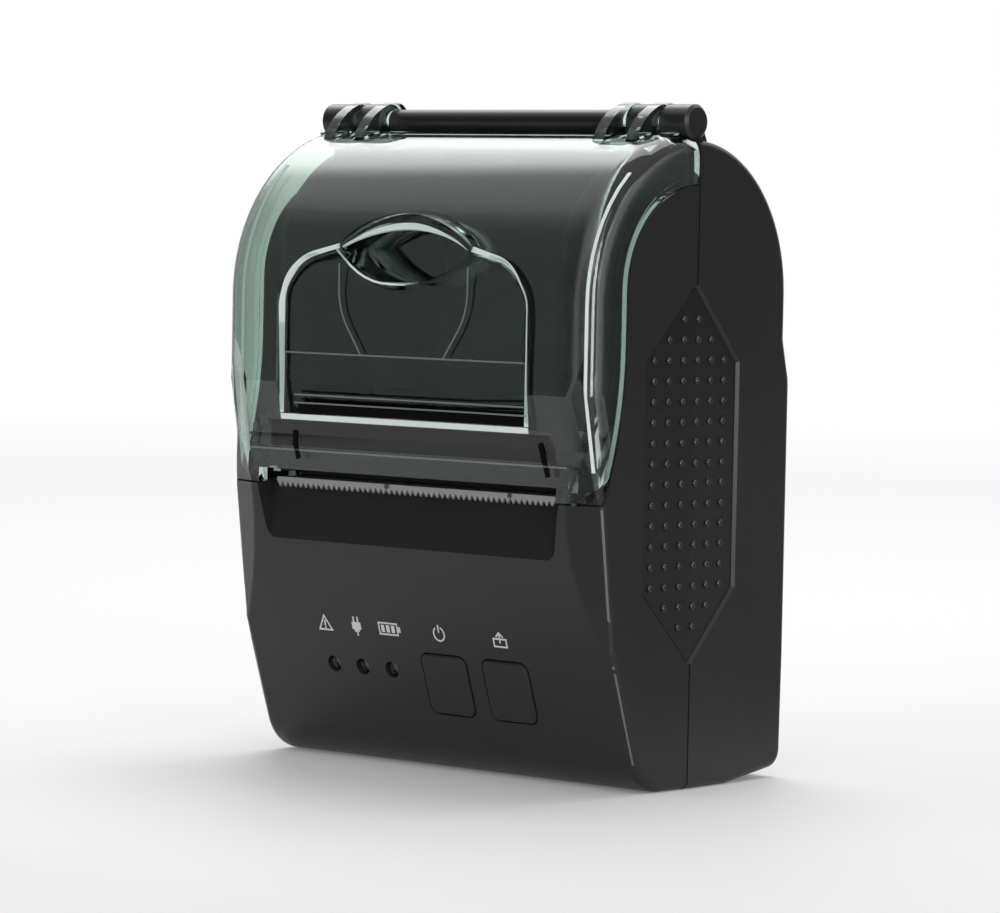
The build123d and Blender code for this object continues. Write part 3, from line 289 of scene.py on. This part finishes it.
plain_steel = finish("plain_steel", (0.52, 0.52, 0.53), 0.35, 0.12, 0.1, metallic=1.0)
dark_steel = finish("dark_steel", (0.11, 0.11, 0.115), 0.4, 0.12, 0.1, metallic=1.0)
can_steel = finish("can_steel", (0.45, 0.45, 0.46), 0.3, 0.3, 0.06, metallic=1.0)
sink_aluminium = finish("sink_aluminium", (0.6, 0.6, 0.61), 0.38, 0.12, 0.12, metallic=1.0)
pinion_brass = finish("pinion_brass", (0.68, 0.52, 0.25), 0.34, 0.15, 0.08, metallic=1.0)
contact_gold = finish("contact_gold", (0.8, 0.6, 0.26), 0.25, 0.2, 0.05, metallic=1.0)
gear_nylon = finish("gear_nylon", (0.020, 0.020, 0.021), 0.42, 0.3, 0.1)
bush_nylon = finish("bush_nylon", (0.012, 0.012, 0.0125), 0.5, 0.3, 0.1)
board_green = finish("board_green", (0.012, 0.07, 0.03), 0.35, 0.6, 0.06)
chip_black = finish("chip_black", (0.018, 0.018, 0.019), 0.45, 0.2, 0.1)
battery_grey = finish("battery_grey", (0.05, 0.052, 0.056), 0.5, 0.3, 0.1)
ceramic = finish("ceramic", (0.06, 0.056, 0.05), 0.22, 0.4, 0.03)
led_clear = finish("led_clear", (0.7, 0.7, 0.62), 0.2, 0.3, 0.02)
print_white = finish("print_white", (0.78, 0.78, 0.77), 0.5, 0.2, 0.05)
# Painted highlights: pale strips in three strengths that stand in for the bright edges, lines and folds of
# the lid
painted_highlight_bright = finish("painted_highlight_bright", (0.86, 0.95, 0.9), 0.3, 0.2, 0.05)
painted_highlight_dim = finish("painted_highlight_dim", (0.2, 0.225, 0.21), 0.35, 0.2, 0.05)
painted_highlight_soft = finish("painted_highlight_soft", (0.42, 0.52, 0.47), 0.3, 0.2, 0.05)
# Painted shade: near-black for the lid's slot and bands and for the plate over the roller
painted_shade_black = finish("painted_shade_black", (0.003, 0.003, 0.003), 0.7, 0.3, 0.05, specular=0.05)
# The lid's colour is darkened towards its two ends as painted shade
lid_clear = clear_plastic("lid_clear", (0.64, 0.76, 0.70), 0.035, end_shading=0.34)
pipe_clear = clear_plastic("pipe_clear", (0.85, 0.87, 0.87), 0.12)

NODE_FINISHES = {
    "front_case": case_black, "rear_case": rear_black, "hinge_rod": rod_black,
    "left_grip_pad": grip_rubber, "right_grip_pad": grip_rubber, "case_screws": dark_steel,
    "tear_bar": bar_steel, "paper_bay": inner_black, "paper_sensor": chip_black,
    "mechanism_frame": plain_steel, "stepper_motor": can_steel, "idler_axle": plain_steel,
    "head_pin": plain_steel, "head_springs": plain_steel, "main_board": board_green,
    "board_screws": dark_steel, "button_switches": chip_black, "light_pipes": pipe_clear,
    "status_leds": led_clear, "charging_socket": can_steel, "radio_module": can_steel,
    "board_capacitors": sink_aluminium, "buzzer": chip_black, "battery_contacts": contact_gold,
    "battery_pack": battery_grey, "battery_door": door_black, "lid": lid_clear,
    "roller_bracket": inner_black, "platen_bushes": bush_nylon, "platen_shaft": plain_steel,
    "platen_roller": roller_rubber, "platen_gear": gear_nylon, "idler_gear": gear_nylon,
    "motor_pinion": pinion_brass, "motor_shaft": plain_steel, "heat_sink": sink_aluminium,
    "head_strip": ceramic, "power_button": button_black, "power_plunger": chip_black,
    "feed_button": button_black, "feed_plunger": chip_black,
}
for node_name, material in NODE_FINISHES.items():
    mesh = nodes[node_name].data
    mesh.materials.clear()
    mesh.materials.append(material)
start_clean()


# Grip dots on both sides

def dot_places():
    """(Y, Z) of the raised dots: six to a row, fewer towards both tips."""
    places = []
    for row in range(-2, 14):
        if row in (-2, 13):
            columns = GRIP_COLUMNS[2:4]
        elif row in (-1, 12):
            columns = GRIP_COLUMNS[1:5]
        else:
            columns = GRIP_COLUMNS
        for column in columns:
            places.append((column, GRIP_TOP_ROW - GRIP_PITCH * row))
    return places


def side_wall_x(y):
    draft = FRONT_DRAFT if y < 0 else REAR_DRAFT
    return HALF_WIDTH - abs(y) * math.tan(math.radians(draft))


def make_dot():
    """One low dome with its foot cut flat."""
    start_clean()
    bpy.ops.mesh.primitive_uv_sphere_add(segments=12, ring_count=8, radius=DOT_RADIUS * MM)
    dot = bpy.context.object
    bpy.ops.object.mode_set(mode="EDIT")
    bpy.ops.mesh.select_all(action="SELECT")
    bpy.ops.mesh.bisect(
        plane_co=(0, 0, DOT_FOOT * MM), plane_no=(0, 0, 1), clear_inner=True, use_fill=True,
    )
    bpy.ops.object.mode_set(mode="OBJECT")
    bpy.ops.object.shade_smooth()
    return dot


def make_grip_dots():
    for side, name in ((1, "right"), (-1, "left")):
        dot = make_dot()
        copies = []
        for y, z in dot_places():
            turn = Matrix.Rotation(side * (math.pi / 2), 4, "Y")
            place = Matrix.Translation((side * (side_wall_x(y) - GRIP_SINK) * MM, y * MM, z * MM))
            copies.append(copy_of(dot, place @ turn @ Matrix.Scale(DOT_FLATTEN, 4, (0, 0, 1))))
        bpy.data.objects.remove(dot)
        keep(join(copies), name + "_grip_dots", dot_rubber, "housing")


make_grip_dots()


# Edges and lines on the lid with painted highlights and painted shade, and the signs on the front

def lay_on(piece, surface, lift, thickness):
    """Press a flat shape back on a surface and give it its thickness."""
    start_clean()
    piece.select_set(True)
    bpy.context.view_layer.objects.active = piece
    bpy.ops.object.transform_apply(location=True, rotation=True, scale=True)
    wrap = piece.modifiers.new("lay", "SHRINKWRAP")
    wrap.wrap_method = "PROJECT"
    wrap.wrap_mode = "ABOVE_SURFACE"
    wrap.use_project_y = True
    wrap.target = surface
    wrap.offset = lift * MM
    bpy.ops.object.modifier_apply(modifier="lay")
    body = piece.modifiers.new("body", "SOLIDIFY")
    body.thickness = thickness * MM
    body.offset = 0
    bpy.ops.object.modifier_apply(modifier="body")
    bpy.ops.object.mode_set(mode="EDIT")
    bpy.ops.mesh.select_all(action="SELECT")
    bpy.ops.mesh.normals_make_consistent(inside=False)
    bpy.ops.object.mode_set(mode="OBJECT")
    return piece


def select_top_edge(piece, height):
    """Select the edge at the end of a first run."""
    bpy.ops.object.mode_set(mode="EDIT")
    bpy.ops.mesh.select_all(action="DESELECT")
    bpy.ops.mesh.select_mode(type="EDGE")
    bpy.ops.object.mode_set(mode="OBJECT")
    for edge in piece.data.edges:
        edge.select = all(piece.data.vertices[i].co.z > height * 0.999 for i in edge.vertices)
    bpy.ops.object.mode_set(mode="EDIT")


def ribbon(points, radius, width):
    """Flat strip in front of the printer along a path with rounded corners."""
    runs = [Vector(b) - Vector(a) for a, b in zip(points, points[1:])]
    turns = [0.0] + [a.angle_signed(b) for a, b in zip(runs, runs[1:])] + [0.0]
    cuts = [radius * math.tan(abs(turn) / 2) for turn in turns]
    lengths = [run.length - cuts[i] - cuts[i + 1] for i, run in enumerate(runs)]
    start_clean()
    half_run = lengths[0] / 2 * MM
    bpy.ops.mesh.primitive_plane_add(size=1, rotation=(math.pi / 2, 0, 0), location=(0, 0, half_run))
    strip = bpy.context.object
    strip.scale = (width * MM, lengths[0] * MM, 1)
    bpy.ops.object.transform_apply(location=True, rotation=True, scale=True)
    select_top_edge(strip, lengths[0] * MM)
    place = Vector((0, lengths[0]))
    heading = Vector((0, 1))
    for turn, length in zip(turns[1:], lengths[1:]):
        right = Vector((heading.y, -heading.x))
        centre = place + right * math.copysign(radius, turn)
        bpy.ops.mesh.spin(
            steps=max(2, round(abs(math.degrees(turn)) / 7)), angle=-turn,
            center=(centre.x * MM, 0, centre.y * MM), axis=(0, 1, 0),
        )
        spun = Matrix.Rotation(-turn, 2)
        place = centre + spun @ (place - centre)
        heading = spun @ heading
        if length > 0.01:
            pieces = max(1, round(length / 2.5))
            step = heading * (length / pieces)
            for _ in range(pieces):
                move = {"value": (step.x * MM, 0, step.y * MM)}
                bpy.ops.mesh.extrude_region_move(TRANSFORM_OT_translate=move)
            place += heading * length
    bpy.ops.object.mode_set(mode="OBJECT")
    strip.rotation_euler = (0, math.atan2(runs[0].x, runs[0].y), 0)
    strip.location = (points[0][0] * MM, FRONT_PLANE * MM, points[0][1] * MM)
    return strip


def bar(x, z, width, height, turn=0.0):
    """Flat block in front of the printer, divided so that it can follow a curve."""
    start_clean()
    bpy.ops.mesh.primitive_grid_add(x_subdivisions=4, y_subdivisions=3, size=1, rotation=(math.pi / 2, 0, 0))
    block = bpy.context.object
    block.scale = (width * MM, height * MM, 1)
    bpy.ops.object.transform_apply(location=True, rotation=True, scale=True)
    block.rotation_euler = (0, math.radians(turn), 0)
    block.location = (x * MM, FRONT_PLANE * MM, z * MM)
    return block


def edge_piece(name, shape, material, lift=0.03, thickness=0.12):
    keep(lay_on(shape, nodes["lid"], lift, thickness), name, material, "lid")


def mirrored(path):
    return tuple((-x, z) for x, z in path)


WINDOW_EDGE = ((26.3, 57.0), (26.3, 77.0), (22.6, 82.2), (14.2, 84.2))
WINDOW_ARC = ((13.8, 81.4), (13.8, 74.0), (8.95, 67.0))

# Strips on the lid, painted highlights and painted shade: path of (X, Z), corner radius, width and finish
LID_RIBBONS = {
    "window_rim_left": (mirrored(WINDOW_EDGE), 8.5, 0.8, painted_highlight_bright),
    "window_rim_right": (WINDOW_EDGE, 8.5, 0.8, painted_highlight_bright),
    "grip_rim": (((-15.0, 83.8), (-7.5, 78.2), (0.5, 78.4)), 14.0, 0.35, painted_highlight_bright),
    "lid_fold_left": (((-34.3, 50.4), (-34.5, 62.0), (-34.6, 97.0)), 100.0, 0.6, painted_highlight_soft),
    "lid_fold_right": (((38.4, 50.4), (38.05, 62.0), (38.0, 96.5)), 100.0, 0.4, painted_highlight_bright),
    "chin_band_left": (((-23.6, 54.2), (-23.9, 52.2), (-23.0, 49.6)), 3.0, 1.0, painted_shade_black),
    "chin_band_right": (((28.8, 54.6), (29.4, 52.2), (30.4, 49.4)), 3.0, 1.0, painted_shade_black),
    "window_arc_left": (mirrored(WINDOW_ARC), 11.0, 0.2, painted_highlight_dim),
    "window_arc_right": (WINDOW_ARC, 11.0, 0.2, painted_highlight_dim),
}

# Straight bars on the lid, painted highlights and painted shade: X, Z, width, height and finish
LID_BARS = {
    "window_rim_low": (0, 56.4, 53.2, 0.9, painted_highlight_bright),
    "window_ledge": (0.1, 66.8, 51.2, 0.32, painted_highlight_dim),
    "window_slot": (1.5, 57.75, 48.6, 1.5, painted_shade_black),
    "window_line_upper": (1.3, 60.0, 50.0, 0.24, painted_highlight_dim),
    "window_line_lower": (1.3, 58.7, 50.0, 0.24, painted_highlight_dim),
    "chin_line": (-0.25, 51.0, 68.9, 0.3, painted_highlight_dim),
}


def paint_lid_highlights_and_shade():
    """Painted highlights on the rim and fine lines of the window and on the folds of the lid, and painted
    shade in the window's slot and the lid's bands.
    """
    for name, (path, radius, width, material) in LID_RIBBONS.items():
        edge_piece(name, ribbon(path, radius, width), material)
    for name, (x, z, width, height, material) in LID_BARS.items():
        edge_piece(name, bar(x, z, width, height), material)


def disc(x, z, radius, depth, sides=96):
    """Flat cylinder that faces the front."""
    start_clean()
    bpy.ops.mesh.primitive_cylinder_add(
        vertices=sides, radius=radius * MM, depth=depth * MM, rotation=(math.pi / 2, 0, 0),
        location=(x * MM, FRONT_PLANE * MM, z * MM),
    )
    piece = bpy.context.object
    bpy.ops.object.transform_apply(location=True, rotation=True, scale=True)
    return piece


def make_grip_lip():
    """Painted highlight: a bright crescent along the top of the finger grip."""
    lip = disc(0, GRIP_LIP[0], GRIP_LIP[1], LIP_DEPTH)
    hole = disc(0, GRIP_LIP[2], GRIP_LIP[3], 4 * LIP_DEPTH)
    cut = lip.modifiers.new("cut", "BOOLEAN")
    cut.object = hole
    start_clean()
    lip.select_set(True)
    bpy.context.view_layer.objects.active = lip
    bpy.ops.object.modifier_apply(modifier="cut")
    bpy.data.objects.remove(hole)
    bpy.ops.object.mode_set(mode="EDIT")
    bpy.ops.mesh.select_all(action="SELECT")
    bpy.ops.mesh.bisect(
        plane_co=(0, 0, GRIP_TIP_Z * MM), plane_no=(0, 0, 1), clear_inner=True, use_fill=True,
    )
    bpy.ops.object.mode_set(mode="OBJECT")
    lip.rotation_euler = (math.radians(-GRIP_LIP_LEAN), 0, 0)
    lip.location = (0, 0, 0)
    bpy.ops.object.transform_apply(location=True, rotation=True, scale=True)
    low = min((vertex.co.z, vertex.co.y) for vertex in lip.data.vertices)
    lip.location = (0, GRIP_LIP_Y * MM - low[1], GRIP_TIP_Z * MM - low[0])
    keep(lip, "grip_lip", painted_highlight_bright, "lid")


def make_paper_guide():
    """Dark guide plate between the platen roller and the lid, near-black as painted shade over the top of
    the roller.
    """
    start_clean()
    bpy.ops.mesh.primitive_cube_add(size=1, location=[value * MM for value in GUIDE_AT])
    guide = bpy.context.object
    guide.scale = [value * MM for value in GUIDE_SIZE]
    bpy.ops.object.transform_apply(location=True, rotation=True, scale=True)
    bpy.ops.object.mode_set(mode="EDIT")
    bpy.ops.mesh.select_all(action="SELECT")
    bpy.ops.mesh.bevel(offset=GUIDE_EDGE * MM, segments=2)
    bpy.ops.object.mode_set(mode="OBJECT")
    keep(guide, "paper_guide", painted_shade_black, "lid")


def make_cheek_highlights():
    """Painted highlight: a lighter line along the two front corners of the case."""
    for side, name in ((-1, "left"), (1, "right")):
        runs = [bar(side * x, z, width, height) for x, z, width, height in CHEEK_HIGHLIGHTS]
        line = lay_on(join(runs), nodes["front_case"], 0.01, 0.05)
        start_clean()
        line.select_set(True)
        bpy.context.view_layer.objects.active = line
        bpy.ops.object.shade_smooth_by_angle(angle=math.radians(40))
        keep(line, "cheek_highlight_" + name, painted_edge_highlight, "housing")


def make_bar_rivets():
    """Two small rivet heads on the tear bar."""
    for name, x in RIVET_X.items():
        rivet = disc(x, RIVET_Z, *RIVET_SIZE, 16)
        rivet.location = (0, RIVET_BACK * MM, 0)
        keep(rivet, "bar_rivet_" + name, dark_steel, "housing")


paint_lid_highlights_and_shade()
make_grip_lip()
make_paper_guide()
make_bar_rivets()
make_cheek_highlights()


# Signs on the front, in place of words

def frame_of(x, z, width, height, line, sides=4):
    """Outline of a box or triangle, made by an inset whose middle is taken out."""
    start_clean()
    if sides == 4:
        bpy.ops.mesh.primitive_plane_add(size=1, rotation=(math.pi / 2, 0, 0))
    else:
        bpy.ops.mesh.primitive_circle_add(
            vertices=sides, radius=0.577, fill_type="NGON", rotation=(math.pi / 2, 0, 0),
        )
    outline = bpy.context.object
    outline.scale = (width * MM, height * MM, 1)
    bpy.ops.object.transform_apply(location=True, rotation=True, scale=True)
    bpy.ops.object.mode_set(mode="EDIT")
    bpy.ops.mesh.select_all(action="SELECT")
    bpy.ops.mesh.inset(thickness=line * MM)
    bpy.ops.mesh.delete(type="FACE")
    bpy.ops.object.mode_set(mode="OBJECT")
    outline.location = (x * MM, FRONT_PLANE * MM, z * MM)
    return outline


def power_ring(x, z, radius, line):
    """Open ring, spun from one short edge."""
    start_clean()
    bpy.ops.mesh.primitive_plane_add(size=line * MM, rotation=(math.pi / 2, 0, 0))
    ring = bpy.context.object
    bpy.ops.object.transform_apply(location=True, rotation=True, scale=True)
    select_top_edge(ring, line / 2 * MM)
    centre = Vector((radius * MM, 0, line / 2 * MM))
    bpy.ops.mesh.spin(steps=26, angle=math.radians(-RING_SWEEP), center=centre, axis=(0, 1, 0))
    bpy.ops.object.mode_set(mode="OBJECT")
    turn = Matrix.Rotation(math.radians(RING_TURN), 4, "Y")
    place = Matrix.Translation((x * MM, FRONT_PLANE * MM, z * MM))
    ring.matrix_world = place @ turn @ Matrix.Translation(-centre)
    return ring


def sign(name, shapes):
    piece = lay_on(join(shapes), nodes["front_case"], 0.01, 0.05)
    keep(piece, "sign_" + name, print_white, "housing")


def make_signs():
    """Warning triangle, plug, battery, power and paper feed."""
    line, z = SIGN_LINE, SIGN_Z
    x = SIGN_X["warning"]
    sign("warning", [
        frame_of(x, z - 0.35, 3.3, 3.1, line, 3), bar(x, z, 0.3, 0.9), bar(x, z - 0.75, 0.3, 0.3),
    ])
    x = SIGN_X["plug"]
    sign("plug", [
        bar(x, z, 1.9, 1.2), bar(x - 0.45, z + 1.05, 0.3, 0.9), bar(x + 0.45, z + 1.05, 0.3, 0.9),
        bar(x, z - 0.8, 1.1, 0.4), bar(x, z - 1.3, 0.3, 0.7),
    ])
    x = SIGN_X["battery"]
    cells = [bar(x - 1.35 + 1.1 * step, z, 0.7, 1.2) for step in range(3)]
    sign("battery", [frame_of(x - 0.2, z, 4.2, 2.1, line), bar(x + 2.2, z, 0.45, 0.9)] + cells)
    x = SIGN_X["power"]
    sign("power", [power_ring(x, z, 1.12, line), bar(x, z + 0.85, line, 1.25)])
    x = SIGN_X["feed"]
    sign("feed", [
        frame_of(x, z - 0.45, 2.9, 1.5, line), bar(x, z + 0.25, line, 1.5),
        bar(x - 0.35, z + 0.85, line, 1.1, 45), bar(x + 0.35, z + 0.85, line, 1.1, -45),
    ])


make_signs()


# Camera, floor and light

def place_camera():
    turn, rise, roll = (math.radians(v) for v in (CAMERA_TURN, CAMERA_RISE, CAMERA_ROLL))
    back = Vector((math.sin(turn) * math.cos(rise), -math.cos(turn) * math.cos(rise), math.sin(rise)))
    right = Vector((math.cos(turn), math.sin(turn), 0))
    up = back.cross(right)
    across = math.cos(roll) * right + math.sin(roll) * up
    upward = -math.sin(roll) * right + math.cos(roll) * up
    data = bpy.data.cameras.new("photo_camera")
    data.sensor_fit = "HORIZONTAL"
    data.sensor_width = 36
    data.lens = LENS
    data.clip_start = 0.01
    camera = bpy.data.objects.new("photo_camera", data)
    bpy.context.scene.collection.objects.link(camera)
    rows = [(across[i], upward[i], back[i], CAMERA_AT[i]) for i in range(3)] + [(0, 0, 0, 1)]
    camera.matrix_world = Matrix(rows)
    bpy.context.scene.camera = camera


def open_ray(tree, seen):
    """1 for a ray from the camera, through glass or off a surface, 0 for the light on the object."""
    direct = tree.nodes.new("ShaderNodeMath")
    direct.operation = "MAXIMUM"
    tree.links.new(seen.outputs["Is Camera Ray"], direct.inputs[0])
    tree.links.new(seen.outputs["Is Transmission Ray"], direct.inputs[1])
    mirrored = tree.nodes.new("ShaderNodeMath")
    mirrored.operation = "MAXIMUM"
    tree.links.new(direct.outputs[0], mirrored.inputs[0])
    tree.links.new(seen.outputs["Is Glossy Ray"], mirrored.inputs[1])
    return mirrored.outputs[0]


def make_floor():
    start_clean()
    bpy.ops.mesh.primitive_grid_add(x_subdivisions=2, y_subdivisions=2, size=FLOOR_SIZE)
    floor = bpy.context.object
    floor.name = "floor"
    material = bpy.data.materials.new("floor_white")
    material.use_nodes = True
    tree = material.node_tree
    shader = tree.nodes["Principled BSDF"]
    shader.inputs["Base Color"].default_value = (0.84, 0.84, 0.845, 1)
    shader.inputs["Roughness"].default_value = 0.55
    shader.inputs["Specular IOR Level"].default_value = 0.1
    seen = tree.nodes.new("ShaderNodeLightPath")
    lift = tree.nodes.new("ShaderNodeMapRange")
    lift.inputs["To Min"].default_value = 0.0
    lift.inputs["To Max"].default_value = FLOOR_LIFT
    tree.links.new(open_ray(tree, seen), lift.inputs["Value"])
    tree.links.new(lift.outputs["Result"], shader.inputs["Emission Strength"])
    shader.inputs["Emission Color"].default_value = (1, 1, 1, 1)
    where = tree.nodes.new("ShaderNodeTexCoord")
    reach = tree.nodes.new("ShaderNodeVectorMath")
    reach.operation = "LENGTH"
    tree.links.new(where.outputs["Object"], reach.inputs[0])
    fade = tree.nodes.new("ShaderNodeMapRange")
    fade.interpolation_type = "SMOOTHSTEP"
    fade.inputs["From Min"].default_value = FLOOR_NEAR
    fade.inputs["From Max"].default_value = FLOOR_FAR
    tree.links.new(reach.outputs["Value"], fade.inputs["Value"])
    far = tree.nodes.new("ShaderNodeEmission")
    far.inputs["Strength"].default_value = 1.0
    mix = tree.nodes.new("ShaderNodeMixShader")
    tree.links.new(fade.outputs["Result"], mix.inputs["Fac"])
    tree.links.new(shader.outputs["BSDF"], mix.inputs[1])
    tree.links.new(far.outputs["Emission"], mix.inputs[2])
    tree.links.new(mix.outputs["Shader"], tree.nodes["Material Output"].inputs["Surface"])
    floor.data.materials.append(material)


def add_softbox(name, at, target, width, height, power):
    data = bpy.data.lights.new(name, "AREA")
    data.shape = "RECTANGLE"
    data.size = width
    data.size_y = height
    data.energy = power
    lamp = bpy.data.objects.new(name, data)
    bpy.context.scene.collection.objects.link(lamp)
    aim = Vector(target) - Vector(at)
    lamp.matrix_world = Matrix.Translation(at) @ aim.to_track_quat("-Z", "Y").to_matrix().to_4x4()
    return lamp


def card_material(name, glow, cover=1.0):
    """Black or glowing in the middle of a card and clear towards its edges."""
    material = bpy.data.materials.new(name)
    material.use_nodes = True
    tree = material.node_tree
    shader = tree.nodes["Principled BSDF"]
    shader.inputs["Base Color"].default_value = (0.005, 0.005, 0.005, 1)
    shader.inputs["Specular IOR Level"].default_value = 0.0
    shader.inputs["Emission Color"].default_value = (1, 1, 1, 1)
    shader.inputs["Emission Strength"].default_value = glow
    where = tree.nodes.new("ShaderNodeTexCoord")
    reach = tree.nodes.new("ShaderNodeVectorMath")
    reach.operation = "LENGTH"
    tree.links.new(where.outputs["Object"], reach.inputs[0])
    fade = tree.nodes.new("ShaderNodeMapRange")
    fade.interpolation_type = "SMOOTHSTEP"
    fade.inputs["From Min"].default_value = CARD_SOLID
    fade.inputs["From Max"].default_value = CARD_CLEAR
    fade.inputs["To Min"].default_value = cover
    fade.inputs["To Max"].default_value = 0.0
    tree.links.new(reach.outputs["Value"], fade.inputs["Value"])
    tree.links.new(fade.outputs["Result"], shader.inputs["Alpha"])
    return material


FLAG = card_material("flag_black", 0.0)
FLOOR_FLAG = card_material("floor_flag", 0.0, FLOOR_COVER)
CROWN_GLOW = card_material("crown_glow", CROWN_STRENGTH)
EDGE_GLOW = card_material("edge_glow", EDGE_STRENGTH)


def add_card(name, at, target, width, height, material):
    """Dark or bright card beside the set that only reflections see, as in a product studio."""
    start_clean()
    bpy.ops.mesh.primitive_plane_add(size=1)
    card = bpy.context.object
    card.name = name
    aim = (Vector(target) - Vector(at)).to_track_quat("Z", "Y").to_matrix().to_4x4()
    card.matrix_world = Matrix.Translation(at) @ aim @ Matrix.Diagonal((width, height, 1, 1))
    card.visible_camera = False
    card.visible_diffuse = False
    card.visible_transmission = False
    card.visible_shadow = False
    card.data.materials.append(material)


# Name, place, width, height, and watts or finish, in metres
SOFTBOXES = (
    ("top_box", (-0.15, 0.4, 0.95), 0.8, 0.6, 5.0),
    ("edge_strip", (1.06, -0.56, 0.15), 0.08, 1.0, 2.2),
)
CARDS = (
    ("front_flag", (-0.52, -0.56, 0.24), 1.25, 1.35, FLAG),
    ("back_flag", (0.5, 0.57, 0.1), 1.2, 1.2, FLAG),
    ("crown_card", (-0.66, 0.34, 0.7), 1.0, 0.6, CROWN_GLOW),
    ("edge_card", (0.86, -0.42, 0.2), 0.28, 0.9, EDGE_GLOW),
    ("cheek_flag", (0.34, -0.84, 0.15), 0.6, 1.0, FLAG),
)
# Dark cards that lie on the floor: name, X, Y and size
FLOOR_CARDS = (("side_flag", 0.25, 0.22, 0.7), ("corner_flag", 0.09, -0.14, 0.28))


def light_studio():
    """White sky, two soft lamps and the cards that only reflections see."""
    world = bpy.data.worlds.new("studio")
    bpy.context.scene.world = world
    world.use_nodes = True
    tree = world.node_tree
    sky = tree.nodes["Background"]
    seen = tree.nodes.new("ShaderNodeLightPath")
    strength = tree.nodes.new("ShaderNodeMapRange")
    strength.inputs["To Min"].default_value = SKY_LEVEL
    strength.inputs["To Max"].default_value = 1.0
    tree.links.new(open_ray(tree, seen), strength.inputs["Value"])
    tree.links.new(strength.outputs["Result"], sky.inputs["Strength"])
    sky.inputs["Color"].default_value = (1, 1, 1, 1)
    for name, at, width, height, power in SOFTBOXES:
        add_softbox(name, at, MIDDLE, width, height, power)
    for name, at, width, height, material in CARDS:
        add_card(name, at, MIDDLE, width, height, material)
    for name, x, y, size in FLOOR_CARDS:
        add_card(name, (x, y, FLOOR_CARD_Z), (x, y, 1), size, size, FLOOR_FLAG)



place_camera()
make_floor()
light_studio()
bpy.context.scene.view_settings.view_transform = "Standard"
